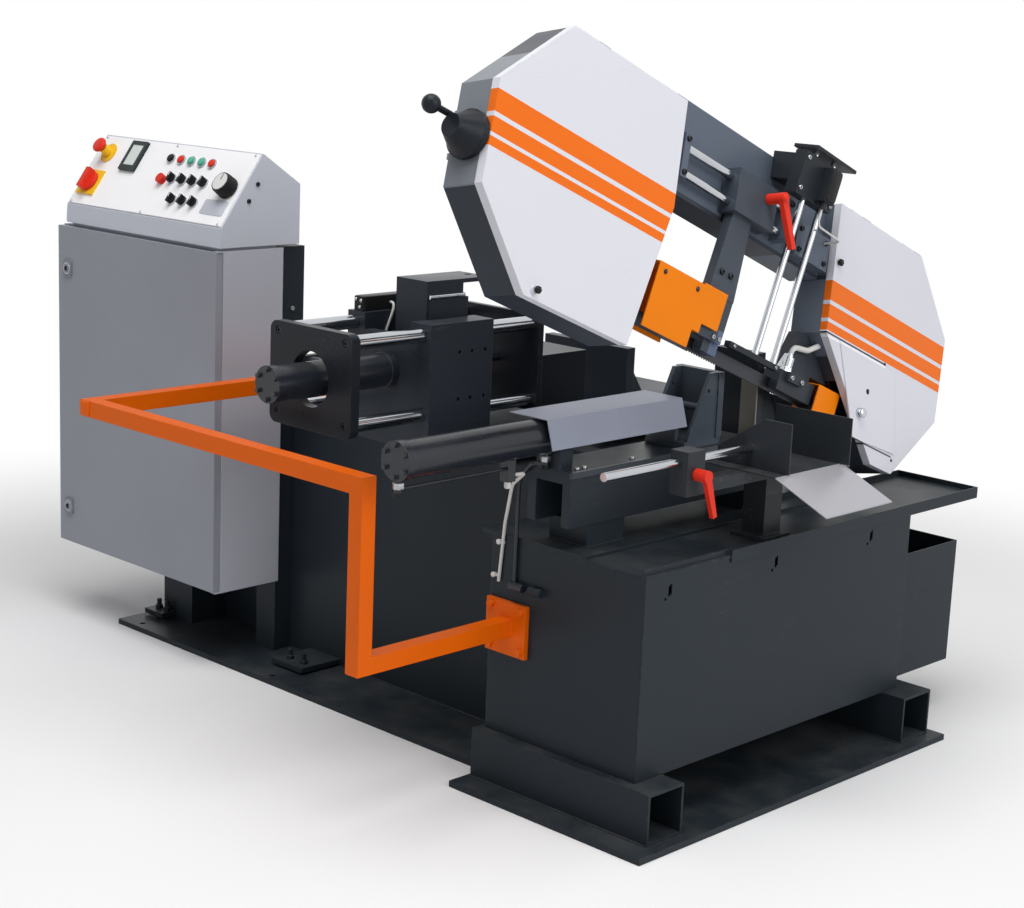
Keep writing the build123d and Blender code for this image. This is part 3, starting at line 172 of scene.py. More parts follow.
def makeScuffGroup():
    # Thin scratches: noise drawn out along one direction and cut to a narrow band
    ins = dict(Amount=0.3, Density=60.0)
    tree, start, end = newGroup("scuffMarks", ins, dict(Mask="Float"))
    place = put(tree, "TexCoord").outputs["Object"]
    drawn = put(tree, "Mapping", Vector=place, Rotation=(0.5, 0.3, 0.7), Scale=(0.06, 1.0, 1.0))
    lines = put(tree, "TexNoise", Vector=drawn.outputs[0], Scale=start.outputs["Density"], Detail=3.0)
    centre = put(tree, "Math", dict(operation="SUBTRACT"), n0=lines.outputs["Fac"], n1=0.5)
    away = put(tree, "Math", dict(operation="ABSOLUTE"), n0=centre.outputs[0])
    thin = ramp(tree, away.outputs[0], 0.006, 0.0)
    where = put(tree, "TexNoise", Vector=place, Scale=5.0, Detail=3.0)
    some = ramp(tree, where.outputs["Fac"], 0.52, 0.7)
    mask = times(tree, times(tree, thin, some), start.outputs["Amount"])
    tree.links.new(mask, end.inputs["Mask"])
    return tree


def makeZoneGroup():
    # A painted zone: 1 inside a box that is given on its own three axes
    ins = dict(Origin=(0, 0, 0), Along=(1, 0, 0), Up=(0, 1, 0), Out=(0, 0, 1), Low=(0, 0, 0), High=(1, 1, 1))
    tree, start, end = newGroup("zoneBox", ins, dict(Mask="Float"))
    place = put(tree, "TexCoord").outputs["Object"]
    away = put(tree, "VectorMath", dict(operation="SUBTRACT"), n0=place, n1=start.outputs["Origin"])
    local = put(tree, "CombineXYZ")
    for number, axis in enumerate(("Along", "Up", "Out")):
        reach = put(tree, "VectorMath", dict(operation="DOT_PRODUCT"), n0=away.outputs[0],
                    n1=start.outputs[axis])
        tree.links.new(reach.outputs["Value"], local.inputs[number])
    over = put(tree, "VectorMath", dict(operation="SUBTRACT"), n0=local.outputs[0], n1=start.outputs["Low"])
    under = put(tree, "VectorMath", dict(operation="SUBTRACT"), n0=start.outputs["High"], n1=local.outputs[0])
    least = put(tree, "VectorMath", dict(operation="MINIMUM"), n0=over.outputs[0], n1=under.outputs[0])
    parts = put(tree, "SeparateXYZ", Vector=least.outputs[0])
    first = put(tree, "Math", dict(operation="MINIMUM"), n0=parts.outputs["X"], n1=parts.outputs["Y"])
    both = put(tree, "Math", dict(operation="MINIMUM"), n0=first.outputs[0], n1=parts.outputs["Z"])
    inside = put(tree, "Math", dict(operation="GREATER_THAN"), n0=both.outputs[0], n1=0.0)
    tree.links.new(inside.outputs[0], end.inputs["Mask"])
    return tree


grainGroup = makeGrainGroup()
edgeGroup = makeEdgeGroup()
dustGroup = makeDustGroup()
scuffGroup = makeScuffGroup()
zoneGroup = makeZoneGroup()
print("shader groups built")


def useGroup(tree, group, **sockets):
    return put(tree, "Group", dict(node_tree=group), **sockets)


def mixColour(tree, factor, first, second):
    made = put(tree, "Mix", dict(data_type="RGBA"), n0=factor, n6=first, n7=second)
    return made.outputs[2]


def mixValue(tree, factor, first, second):
    return put(tree, "Mix", dict(data_type="FLOAT"), n0=factor, n2=first, n3=second).outputs[0]


def shades(colour, amount):
    # A colour a little darker and a little lighter than the one written
    base = linear(colour)
    dark = tuple(c * (1 - amount) for c in base[:3]) + (1,)
    return dark, tuple(min(c * (1 + amount), 1) for c in base[:3]) + (1,)


def zoneMask(tree, zone):
    origin, along, up, out = (tuple(map(float, v)) for v in zone["axes"])
    made = useGroup(tree, zoneGroup, Origin=origin, Along=along, Up=up, Out=out, Low=zone["low"],
                    High=zone["high"])
    return made.outputs["Mask"]


paintDefaults = dict(worn=(150, 150, 152), roughness=0.42, cloud=3.0, shade=0.10, peel=900.0, bump=0.06,
                     edge=0.0018, wear=0.35, dust=0.25, dustColour=(150, 145, 138), scuffs=0.25, metallic=0.0,
                     coat=0.0, specular=0.15, zoneShade=0.05, glossSpread=(0.06, 0.08), zones=())
stainColour = (70, 64, 58)
noiseRange = (0.3, 0.7)  # where most values of a noise lie


def paintMaterial(name, colour, **changes):
    # Sprayed paint: a base colour with cloudy shade, zones of other finishes and of painted light and
    # shade, chipped edges, scratches and dust
    look = {**paintDefaults, **changes}
    made = bpy.data.materials.new(name)
    made.use_nodes = True
    tree = made.node_tree
    shader = tree.nodes["Principled BSDF"]
    grain = useGroup(tree, grainGroup, Cloud=look["cloud"], Peel=look["peel"])
    edge = useGroup(tree, edgeGroup, Radius=look["edge"], Wear=look["wear"])
    scuff = useGroup(tree, scuffGroup, Amount=look["scuffs"])
    dust = useGroup(tree, dustGroup, Amount=look["dust"])
    shown = mixColour(tree, grain.outputs["Shade"], *shades(colour, look["shade"]))
    under, over = look["glossSpread"]
    rough = ramp(tree, grain.outputs["Shade"], *noiseRange, look["roughness"] - under,
                 look["roughness"] + over)
    metal = None
    for zone in look["zones"]:
        mask = zoneMask(tree, zone)
        other = mixColour(tree, grain.outputs["Shade"], *shades(zone["colour"], look["zoneShade"]))
        shown = mixColour(tree, mask, shown, other)
        if "roughness" in zone:
            rough = mixValue(tree, mask, rough, zone["roughness"])
        if "metallic" in zone:
            metal = mixValue(tree, mask, look["metallic"] if metal is None else metal, zone["metallic"])
    shown = mixColour(tree, scuff.outputs["Mask"], shown, linear(look["worn"]))
    shown = mixColour(tree, edge.outputs["Mask"], shown, linear(look["worn"]))
    shown = mixColour(tree, dust.outputs["Mask"], shown, linear(look["dustColour"]))
    tree.links.new(shown, shader.inputs["Base Color"])
    tree.links.new(rough, shader.inputs["Roughness"])
    bump = put(tree, "Bump", Strength=look["bump"], Distance=0.0005, Height=grain.outputs["Height"],
               Normal=edge.outputs["Normal"])
    tree.links.new(bump.outputs[0], shader.inputs["Normal"])
    shader.inputs["Metallic"].default_value = look["metallic"]
    if metal is not None:
        tree.links.new(metal, shader.inputs["Metallic"])
    shader.inputs["Coat Weight"].default_value = look["coat"]
    shader.inputs["Specular IOR Level"].default_value = look["specular"]
    return made


def metalMaterial(name, colour, roughness, grainScale=(1, 60, 60), grainAmount=0.12, edge=0.001, stain=0.15):
    # Bare metal: fine drawn-out grain in colour and gloss, with faint stains
    made = bpy.data.materials.new(name)
    made.use_nodes = True
    tree = made.node_tree
    shader = tree.nodes["Principled BSDF"]
    place = put(tree, "TexCoord").outputs["Object"]
    drawn = put(tree, "Mapping", Vector=place, Scale=grainScale)
    lines = put(tree, "TexNoise", Vector=drawn.outputs[0], Scale=30.0, Detail=5.0)
    cloud = put(tree, "TexNoise", Vector=place, Scale=9.0, Detail=5.0)
    dark = shades(colour, grainAmount)[0]
    shown = mixColour(tree, lines.outputs["Fac"], dark, linear(colour))
    patch = ramp(tree, cloud.outputs["Fac"], 0.5, 0.75, 0.0, stain)
    shown = mixColour(tree, patch, shown, linear(stainColour))
    tree.links.new(shown, shader.inputs["Base Color"])
    rough = ramp(tree, lines.outputs["Fac"], *noiseRange, roughness * 0.8, roughness * 1.3)
    tree.links.new(rough, shader.inputs["Roughness"])
    soft = useGroup(tree, edgeGroup, Radius=edge, Wear=0.0)
    bump = put(tree, "Bump", Strength=0.05, Distance=0.0003, Height=lines.outputs["Fac"],
               Normal=soft.outputs["Normal"])
    tree.links.new(bump.outputs[0], shader.inputs["Normal"])
    shader.inputs["Metallic"].default_value = 1.0
    return made


def coverMark(left, low, right, high, colour):
    # A painted strip on a cover, between two places along and up the case plane
    return dict(axes=caseAxes, low=(left, low, -1), high=(right, high, 1), colour=colour)


def panelZone(left, low, right, high, rise, colour, base=0.0004, **finish):
    # A painted box on the panel, from its base over the face to its rise
    return dict(axes=panelAxes, low=(left, low, base), high=(right, high, rise), colour=colour, **finish)


stripes = dict(left=((0.318, 0.366), (0.275, 0.308), (0.247, 0.267)),
               right=((0.337, 0.387), (0.292, 0.327), (0.262, 0.283)), reach=3, colour=(230, 108, 18))
stripeZones = {side: [coverMark(-stripes["reach"], low, stripes["reach"], high, stripes["colour"])
                      for low, high in stripes[side]] for side in ("left", "right")}
# Lines on the drive cover's lower panel: the dark ones are painted shadow in the gaps at its top and bottom
# edges, the light one a painted highlight along its top edge
coverShadeAndHighlightLines = [coverMark(-0.275, 0.2545, 0.03, 0.2585, (38, 40, 44)),
              coverMark(-0.275, 0.2465, 0.03, 0.2515, (238, 238, 242)),
              coverMark(-0.086, 0.0345, 0.118, 0.0385, (62, 65, 70))]
plated = dict(colour=(190, 193, 198), metallic=1.0, roughness=0.16)
yellow = (236, 188, 36)
panelZones = (
    panelZone(-1.68, 0.035, -1.45, 0.2, 0.0055, (176, 180, 186), metallic=0.8, roughness=0.3),  # rings
    panelZone(-1.666, 0.099, -1.636, 0.129, 0.02, (206, 44, 30), metallic=0.0),  # lamp
    panelZone(-1.985, 0.143, -1.921, 0.207, 0.04, yellow, metallic=0.0),  # collar of the stop
    panelZone(-1.998, 0.034, -1.916, 0.116, 0.008, yellow, metallic=0.0),  # plate of the main switch
    panelZone(-1.864, 0.124, -1.79, 0.222, 0.012, (44, 52, 54), metallic=0.0),  # frame of the display
    panelZone(-1.852, 0.1415, -1.802, 0.2085, 0.0084, (206, 214, 210), 0.0072, roughness=0.15),  # screen
)
feelerRods = dict(axes=bowAxes, low=(-0.52, 0.0506, 0.01), high=(-0.38, 0.5514, 0.05), **plated)
# Lighter zones on the bow's dark paint are painted light: the idler case's upper wall, the beam's face and
# the drive case's wall are lit faces of the same paint
litCaseWall = dict(axes=caseAxes, low=(-1.56, 0.166, -0.2), high=(-1.44, 0.6, 0.1), colour=(120, 125, 132))
litBeamFace = dict(axes=caseAxes, low=(-1.1, 0.40, -0.3), high=(-0.2, 0.7, 0.05), colour=(86, 95, 108))
litDriveWall = dict(axes=caseAxes, low=(-0.45, 0.11, -0.3), high=(-0.205, 0.39, -0.006), colour=(98, 107, 120))
guideEnd = dict(axes=bowAxes, low=(-0.66, -0.02, -0.03), high=(-0.6, 0.06, 0.06), colour=(92, 106, 132))
fitting = dict(axes=bowAxes, low=(-0.342, 0.0526, -0.01), high=(-0.31, 0.0992, 0.03), **plated)
coolantHose = dict(axes=bowAxes, low=(-0.345, 0.0993, 0.0085), high=(-0.12, 0.25, 0.03),
                   colour=(206, 206, 204))
feelerLead = dict(axes=bowAxes, low=(-0.6, 0.2, -0.2), high=(-0.2, 0.4292, 0.2), colour=(208, 208, 206))
chuteLip = dict(axes=worldAxes, low=(-1, -0.6, 0.6), high=(1, -0.2352, 0.7885), colour=(168, 168, 174),
                metallic=0.3, roughness=0.36)
guideRod = dict(axes=worldAxes, low=(-0.8, -0.2, 0.8), high=(-0.2405, -0.1, 0.86), **plated)
bedStrip = dict(axes=worldAxes, low=(-0.7, 0.03, 0.7826), high=(0.2, 0.0465, 0.8), colour=(66, 72, 79),
                metallic=0.3, roughness=0.3)
# The fixed jaw's steel face, only where it is lit: beyond this box and above it the face keeps the dark paint
# as painted shade
jawFaceOutOfShade = dict(axes=worldAxes, low=(-0.01, 0, 0.79), high=(0.004, 0.09, 0.935), colour=(138, 134, 126),
               metallic=0.5, roughness=0.4)
knobTop = dict(axes=panelAxes, low=(-1.4, 0.05, 0.0394), high=(-1.3, 0.18, 0.06), colour=(216, 216, 214))

paints = dict(
    darkPaint=dict(colour=(35, 42, 48), roughness=0.4, dust=0.14, scuffs=0.1),
    vicePaint=dict(colour=(40, 47, 54), roughness=0.36, zones=(bedStrip,)),
    jawPaint=dict(colour=(37, 42, 47), roughness=0.36, zones=(jawFaceOutOfShade,)),
    # The bow's, the guide arm's and the fixed guide's paints are lighter copies of the one dark paint,
    # painted light for their lit faces
    bowPaintLit=dict(colour=(52, 58, 66), roughness=0.36, zones=(litCaseWall, litBeamFace, litDriveWall)),
    armPaintLit=dict(colour=(62, 69, 78), roughness=0.36, zones=(guideEnd,)),
    guidePaintLit=dict(colour=(50, 55, 62), roughness=0.36, zones=(fitting, coolantHose)),
    headPaint=dict(colour=(36, 40, 45), roughness=0.36, zones=(feelerLead,)),
    feelerPaint=dict(colour=(36, 40, 45), roughness=0.36, zones=(feelerRods,)),
    blackPaint=dict(colour=(27, 31, 37), roughness=0.3, dust=0.08),
    feedPaint=dict(colour=(43, 49, 57), roughness=0.34, dust=0.08),
    # The moving jaw's paint is a lighter copy of the dark paint, painted light
    clampPaintLit=dict(colour=(70, 78, 88), roughness=0.34, wear=0.8),
    ramPaint=dict(colour=(29, 33, 40), roughness=0.24, specular=0.4, dust=0.1),
    # One grey paint in three copies, painted light and shade: the cabinet and the console lighter as lit
    # faces, the door darker as painted shade
    cabinetGreyLit=dict(colour=(178, 180, 190), roughness=0.45, dust=0.1, worn=(200, 200, 202)),
    doorGreyShaded=dict(colour=(146, 149, 158), roughness=0.45, dust=0.1, worn=(190, 190, 192)),
    consoleGreyLit=dict(colour=(194, 198, 208), roughness=0.45, dust=0.1, worn=(200, 200, 202)),
    coverLeft=dict(colour=(213, 214, 221), roughness=0.35, dust=0.05, worn=(150, 150, 155), shade=0.03,
                   zones=stripeZones["left"]),
    coverRight=dict(colour=(208, 209, 217), roughness=0.35, dust=0.05, worn=(150, 150, 155), shade=0.03,
                    zones=stripeZones["right"] + coverShadeAndHighlightLines),
    orangePaint=dict(colour=(224, 97, 5), roughness=0.35, specular=0.1, worn=(120, 80, 60), dust=0.12),
    guardPaint=dict(colour=(234, 126, 10), roughness=0.35, specular=0.1, worn=(120, 80, 60), dust=0.06),
    panelWhite=dict(colour=(246, 246, 248), roughness=0.4, shade=0.02, dust=0.02, worn=(190, 190, 190),
                    zones=panelZones),
    roofPaint=dict(colour=(146, 151, 167), roughness=0.4, dust=0.04),
    chutePaint=dict(colour=(45, 49, 53), roughness=0.36, scuffs=0.6, dust=0.1, zones=(chuteLip,)),
    stopPaint=dict(colour=(48, 52, 57), roughness=0.36, scuffs=0.5, dust=0.1, zones=(guideRod,)),
    redPlastic=dict(colour=(216, 50, 32), roughness=0.38, worn=(235, 130, 110), wear=0.2, dust=0.05),
    greenPlastic=dict(colour=(84, 176, 150), roughness=0.35, worn=(170, 220, 210), wear=0.2, dust=0.05),
    blackPlastic=dict(colour=(27, 27, 29), roughness=0.4, worn=(80, 80, 82), wear=0.3, dust=0.08),
    knobPlastic=dict(colour=(27, 27, 29), roughness=0.4, worn=(80, 80, 82), wear=0.3, dust=0.05,
                     zones=(knobTop,)),
    whiteCable=dict(colour=(208, 208, 206), roughness=0.5, worn=(160, 160, 160), wear=0.1, dust=0.05),
    lockPaint=dict(colour=(124, 128, 136), roughness=0.35, dust=0.05),
    holeShade=dict(colour=(14, 15, 16), roughness=0.7, shade=0.3, wear=0.0, dust=0.0, scuffs=0.0),
)
metals = dict(
    chrome=dict(colour=(196, 199, 204), roughness=0.14, grainAmount=0.05, stain=0.05),
    steel=dict(colour=(176, 178, 182), roughness=0.3),
    blackSteel=dict(colour=(58, 60, 64), roughness=0.34, grainAmount=0.2),
    # The blade's steel is darkened as painted shade, for its face in shade
    bladeSteelShaded=dict(colour=(74, 75, 81), roughness=0.34, grainAmount=0.2),
    castIron=dict(colour=(96, 98, 102), roughness=0.5, grainScale=(30, 30, 30), grainAmount=0.3, stain=0.3),
)
finishes = {name: paintMaterial(name, **look) for name, look in paints.items()}
finishes.update({name: metalMaterial(name, **look) for name, look in metals.items()})
print("finishes built:", len(finishes))

nodeFinish = dict(
    darkPaint=("base_frame", "coolant_tank", "drip_tray", "chip_box", "machine_body", "feed_bed",
               "pivot_bracket"),
    vicePaint=("vise_bed",),
    clampPaintLit=("moving_jaw",),
    feedPaint=("feed_carriage",),
    jawPaint=("fixed_jaw",),
    blackPaint=("feed_jaw_plates", "gear_motor", "idler_carriage", "tension_handle", "lift_barrel"),
    ramPaint=("vise_cylinder", "feed_vise_cylinder"),
    bowPaintLit=("bow_frame",),
    armPaintLit=("guide_arm",),
    guidePaintLit=("fixed_guide",),
    headPaint=("feeler_head",),
    feelerPaint=("height_feeler",),
    cabinetGreyLit=("cabinet_body",),
    doorGreyShaded=("cabinet_door",),
    consoleGreyLit=("console",),
    panelWhite=("console_panel",),
    coverLeft=("idler_cover",),
    coverRight=("drive_cover",),
    orangePaint=("guard_rail",),
    guardPaint=("blade_guard_left", "blade_guard_right"),
    roofPaint=("jaw_roof",),
    chutePaint=("chute",),
    stopPaint=("chute_guide",),
    redPlastic=("clamp_lever", "arm_lever", "emergency_stop", "main_switch", "push_button_2",
                "push_button_5"),
    greenPlastic=("push_button_3", "push_button_4"),
    blackPlastic=("push_button_1",) + tuple(f"selector_{i}" for i in range(1, 8)),
    knobPlastic=("speed_knob",),
    chrome=("piston_rod", "guide_rods", "feed_jaw_rods", "lift_rod"),
    castIron=("drive_wheel", "idler_wheel"),
    bladeSteelShaded=("saw_blade",),
    whiteCable=("sensor_cables",),
)
for finish, members in nodeFinish.items():
    for member in members:
        slots = nodes[member].data.materials
        slots.clear()
        slots.append(finishes[finish])
bare = set(nodes) - {m for members in nodeFinish.values() for m in members}
print("nodes dressed, left bare:", sorted(bare))


def skinned(rings):
    # A closed skin over a stack of rings: quads between neighbours, a flat face over the first and the last
    rows, sides = rings.shape[:2]
    start = np.arange(rows - 1)[:, None] * sides
    here = np.arange(sides)[None, :]
    after = (here + 1) % sides
    quads = np.stack([start + here, start + after, start + sides + after, start + sides + here], axis=-1)
    ends = [list(range(sides - 1, -1, -1)), list(range((rows - 1) * sides, rows * sides))]
    return rings.reshape(-1, 3), quads.reshape(-1, 4).tolist() + ends


def turned(profile, sides=24, hexRows=(), lobes=0, lobeDepth=0.0):
    # Turned piece: (radius, height) goes round to (radius cos t, radius sin t, height). A hex row's radius is
    # scaled by cos 30 over cos of the angle from the flat's middle, any other by 1 + depth cos(lobes t)
    t = np.linspace(0, 2 * pi, sides, endpoint=False)
    radius, height = np.array(profile, float).T
    hexagon = cos(pi / 6) / np.cos(t % (pi / 3) - pi / 6)
    isHex = np.isin(np.arange(len(radius)), hexRows)[:, None]
    reach = radius[:, None] * np.where(isHex, hexagon, 1 + lobeDepth * np.cos(lobes * t))
    return skinned(np.stack([reach * np.cos(t), reach * np.sin(t), height[:, None] + 0 * t], axis=-1))


def plate(halfWidth, halfLength, profile, power=10, sides=48):
    # Rounded plate: rings on the superellipse |x/a|^p + |y/b|^p = 1, drawn in by each row's inset
    t = np.linspace(0, 2 * pi, sides, endpoint=False)
    reach = (np.abs(np.cos(t)) ** power + np.abs(np.sin(t)) ** power) ** (-1 / power)
    inset, height = np.array(profile, float).T[:, :, None]
    x = (halfWidth - inset) * reach * np.cos(t)
    y = (halfLength - inset) * reach * np.sin(t)
    return skinned(np.stack([x, y, height + 0 * t], axis=-1))


def bevelled(thickness, edge):
    # Profile of a plate with a broken upper edge
    return ((0, 0), (0, thickness - edge), (0.3 * edge, thickness - 0.3 * edge), (edge, thickness))


def tube(path, radius, sides=12, across=(0, 0, 1)):
    # A circle carried along a path, on the two directions square to the path's own
    path = np.asarray(path, float)
    ahead = np.gradient(path, axis=0)
    ahead = ahead / np.linalg.norm(ahead, axis=1, keepdims=True)
    a = np.cross(ahead, np.array(across, float))
    a = a / np.linalg.norm(a, axis=1, keepdims=True)
    b = np.cross(ahead, a)
    t = np.linspace(0, 2 * pi, sides, endpoint=False)[None, :, None]
    reach = np.broadcast_to(np.asarray(radius, float), (len(path),))[:, None, None]
    return skinned(path[:, None] + reach * (np.cos(t) * a[:, None] + np.sin(t) * b[:, None]))


def bead(start, end, radius, step=0.006, ripple=0.14):
    # Weld bead: a tube whose radius swells and shrinks along its run, as the puddles overlap
    start, end = np.array(start, float), np.array(end, float)
    run = np.linalg.norm(end - start)
    s = np.linspace(0, 1, max(int(run / step * 3), 6))
    taper = np.minimum(1, 0.5 + 20 * np.minimum(s, 1 - s))
    swell = radius * (1 + ripple * np.sin(2 * pi * s * run / step)) * taper
    lean = (0, 0, 1) if abs(end[2] - start[2]) < 0.5 * run else (1, 0, 0)
    return tube(start + s[:, None] * (end - start), swell, 8, lean)


def curve(points, steps=28):
    # A smooth line from its control points: Bernstein weights of the degree that the points give
    points = np.array(points, float)
    degree = len(points) - 1
    s = np.linspace(0, 1, steps)[:, None]
    weights = [1.0]
    for k in range(degree):
        weights.append(weights[-1] * (degree - k) / (k + 1))
    k = np.arange(degree + 1)
    return (np.array(weights) * s ** k * (1 - s) ** (degree - k)) @ points


def spread(shape, places):
    # Copies of one shape, each on its own axes
    points, faces = shape
    count = len(points)
    moved = np.concatenate([toFrame(axes, points) for axes in places])
    return moved, [[i + number * count for i in face] for number in range(len(places)) for face in faces]


def joined(shapes):
    # Several shapes as one
    starts = np.cumsum([0] + [len(points) for points, _ in shapes])
    faces = [[i + int(start) for i in face] for start, (_, own) in zip(starts, shapes) for face in own]
    return np.concatenate([points for points, _ in shapes]), faces


sharpFrom = radians(38)  # edges that turn more than this stay sharp


def addPiece(name, shape, finish, body):
    points, faces = shape
    mesh = bpy.data.meshes.new(name)
    mesh.from_pydata(points.tolist(), [], faces)
    mesh.shade_smooth()
    mesh.set_sharp_from_angle(angle=sharpFrom)
    mesh.materials.append(finishes[finish])
    piece = bpy.data.objects.new(name, mesh)
    scene.collection.objects.link(piece)
    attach(piece, body)


def capScrew(radius, height):
    # Socket head: a turned head whose hexagon recess goes half way down
    return turned(((radius, 0), (radius, 0.82 * height), (0.9 * radius, height), (0.56 * radius, height),
                   (0.56 * radius, 0.45 * height)), 24, hexRows=(3, 4))


def hexBolt(radius, height):
    # Washer, hexagon head and its rounded top
    return turned(((1.25 * radius, 0), (1.25 * radius, 0.16 * height), (radius, 0.16 * height),
                   (radius, 0.9 * height), (0.84 * radius, height)), 24, hexRows=(2, 3))


def roundHead(radius, height):
    # Button head: a quarter ellipse turned round
    s = np.linspace(0, 0.46 * pi, 6)
    return turned([(radius, 0)] + [(radius * cos(a), 0.15 * height + 0.85 * height * sin(a)) for a in s], 18)


def onPanel(y, up, out=0.0):
    return movedTo(panelAxes, (-y, up, out))


def onCase(u, v, out=0.0):
    return movedTo(caseAxes, (u, v, out))


panelTrim = dict(screws=[(y, up) for y in (1.330, 1.670, 2.000) for up in (0.010, 0.2245)],
                 screw=(0.0042, 0.0026), label=(1.3805, 0.056), labelHalf=(0.0485, 0.023),
                 labelThick=(0.0012, 0.0004), sideY=1.309,
                 sideScrews=((-0.5304, 1.3162), (-0.5595, 1.2728)), sideScrew=(0.006, 0.004))


def makePanelTrim():
    screws = spread(roundHead(*panelTrim["screw"]), [onPanel(y, up) for y, up in panelTrim["screws"]])
    addPiece("panel_screws", screws, "steel", "machine")
    label = plate(*panelTrim["labelHalf"], bevelled(*panelTrim["labelThick"]), power=14)
    blank = spread(label, [onPanel(*panelTrim["label"])])
    addPiece("panel_blank_plate", blank, "consoleGreyLit", "machine")
    places = [facing((x, panelTrim["sideY"], z), (0, -1, 0)) for x, z in panelTrim["sideScrews"]]
    side = spread(capScrew(*panelTrim["sideScrew"]), places)
    addPiece("console_side_screws", side, "blackSteel", "machine")


controls = dict(buttonUp=0.182, buttonY=(1.664, 1.618, 1.573, 1.527, 1.482), buttonTop=0.009,
                cap=(0.0104, 0.0022),
                selectors=[(y, 0.121) for y in (1.612, 1.565, 1.519, 1.472)]
                + [(y, 0.059) for y in (1.563, 1.516, 1.469)],
                selectorTop=0.020, mark=(0.0011, 0.0052), markThick=(0.0006, 0.0002), markUp=0.006,
                knob=(1.359, 0.115, 0.0033), knobRibs=30, ribDepth=0.018,
                knobProfile=((0.0305, 0), (0.031, 0.004), (0.0295, 0.03), (0.0285, 0.0345),
                             (0.0262, 0.0362)),
                pointer=(0.0012, 0.009), pointerThick=(0.0008, 0.0003), pointerUp=0.014, pointerTop=0.0402,
                stop=(1.953, 0.175),
                stopProfile=((0.0213, 0.0375), (0.0222, 0.040), (0.0222, 0.0432), (0.0200, 0.0468),
                             (0.0150, 0.0484), (0.0060, 0.0487)),
                mainSwitch=(1.957, 0.075),
                switchProfile=((0.0312, 0.0068), (0.0312, 0.0105), (0.0296, 0.0164), (0.0275, 0.0170)))
buttonFinish = ("blackPlastic", "redPlastic", "greenPlastic", "greenPlastic", "redPlastic")


def makeControls():
    for index, y in enumerate(controls["buttonY"]):
        number = index + 1
        place = onPanel(y, controls["buttonUp"], controls["buttonTop"])
        cap = spread(roundHead(*controls["cap"]), [place])
        addPiece(f"button_cap_{number}", cap, buttonFinish[index], f"button_{number}")
    stroke = plate(*controls["mark"], bevelled(*controls["markThick"]), power=8, sides=24)
    for index, (y, up) in enumerate(controls["selectors"]):
        number = index + 1
        mark = spread(stroke, [onPanel(y, up + controls["markUp"], controls["selectorTop"])])
        addPiece(f"selector_mark_{number}", mark, "panelWhite", f"dial_{number}")
    y, up, low = controls["knob"]
    ribbed = turned(controls["knobProfile"], 90, lobes=controls["knobRibs"],
                    lobeDepth=controls["ribDepth"])
    grip = spread(ribbed, [onPanel(y, up, low)])
    addPiece("speed_knob_grip", grip, "blackPlastic", "speed_dial")
    line = plate(*controls["pointer"], bevelled(*controls["pointerThick"]), power=8, sides=24)
    pointer = spread(line, [onPanel(y, up + controls["pointerUp"], controls["pointerTop"])])
    addPiece("speed_knob_mark", pointer, "blackPlastic", "speed_dial")
    stop = spread(turned(controls["stopProfile"], 36), [onPanel(*controls["stop"])])
    addPiece("stop_crown", stop, "redPlastic", "stop_button")
    switch = spread(turned(controls["switchProfile"], 36), [onPanel(*controls["mainSwitch"])])
    addPiece("main_switch_rim", switch, "redPlastic", "main_dial")


makePanelTrim()
makeControls()
print("console dressed")

coverTrim = dict(idlerKnob=(-1.337, 0.012, 0.006), idlerKnobSize=(0.0078, 0.012),
                 driveKnob=(-0.246, 0.436, 0.0), driveKnobSize=(0.0085, 0.012),
                 latch=(-0.068, 0.103, 0.0145),
                 latchProfile=((0.012, -0.0117), (0.012, -0.0035), (0.0105, -0.0008), (0.0125, 0.001),
                               (0.0125, 0.0045), (0.0098, 0.0068), (0.004, 0.0076)),
                 plugs=((-0.038, 0.166, 0.0028, 0.007), (0.122, 0.029, 0, 0.004), (0.030, 0.2565, 0, 0.0045)),
                 plugEdge=0.0008, plugHigh=0.0012,
                 beamScrews=[(u, v, -0.014) for u in (-0.405, -0.292) for v in (0.418, 0.470)]
                 + [(u, v, 0.0) for u in (-0.911, -0.479) for v in (0.424, 0.502)],
                 beamScrew=(0.0065, 0.006),
                 armScrews=[(u, 0.262, -0.010) for u in (-0.703, -0.668)], armScrew=(0.0075, 0.006))


def starKnob(radius, height, lobes=6, lobeDepth=0.07):
    # Hand knob: a turned body with lobes round it and a crowned top
    profile = ((0.45, 0), (0.5, 0.25), (0.92, 0.32), (1.0, 0.45), (1.0, 0.78), (0.9, 0.93), (0.6, 1.0))
    return turned([(radius * r, height * h) for r, h in profile], 72, (), lobes, lobeDepth)


def coverPlug(radius):
    # A low disc with a broken edge
    edge, high = coverTrim["plugEdge"], coverTrim["plugHigh"]
    return turned(((radius, 0), (radius, edge), (0.8 * radius, high)), 20)


def makeCoverTrim():
    knob = spread(starKnob(*coverTrim["idlerKnobSize"]), [onCase(*coverTrim["idlerKnob"])])
    addPiece("idler_cover_knob", knob, "blackPlastic", "idler_lid")
    knob = spread(starKnob(*coverTrim["driveKnobSize"]), [onCase(*coverTrim["driveKnob"])])
    addPiece("drive_cover_knob", knob, "blackPlastic", "drive_lid")
    latch = spread(turned(coverTrim["latchProfile"], 30), [onCase(*coverTrim["latch"])])
    addPiece("drive_cover_latch", latch, "chrome", "drive_lid")
    plugs = [spread(coverPlug(r), [onCase(u, v, out)]) for u, v, out, r in coverTrim["plugs"]]
    addPiece("drive_cover_plugs", joined(plugs), "blackPlastic", "drive_lid")
    beam = spread(capScrew(*coverTrim["beamScrew"]), [onCase(*place) for place in coverTrim["beamScrews"]])
    addPiece("beam_screws", beam, "blackSteel", "bow")
    arm = spread(capScrew(*coverTrim["armScrew"]), [onCase(*place) for place in coverTrim["armScrews"]])
    addPiece("guide_arm_screws", arm, "blackSteel", "sliding_guide")


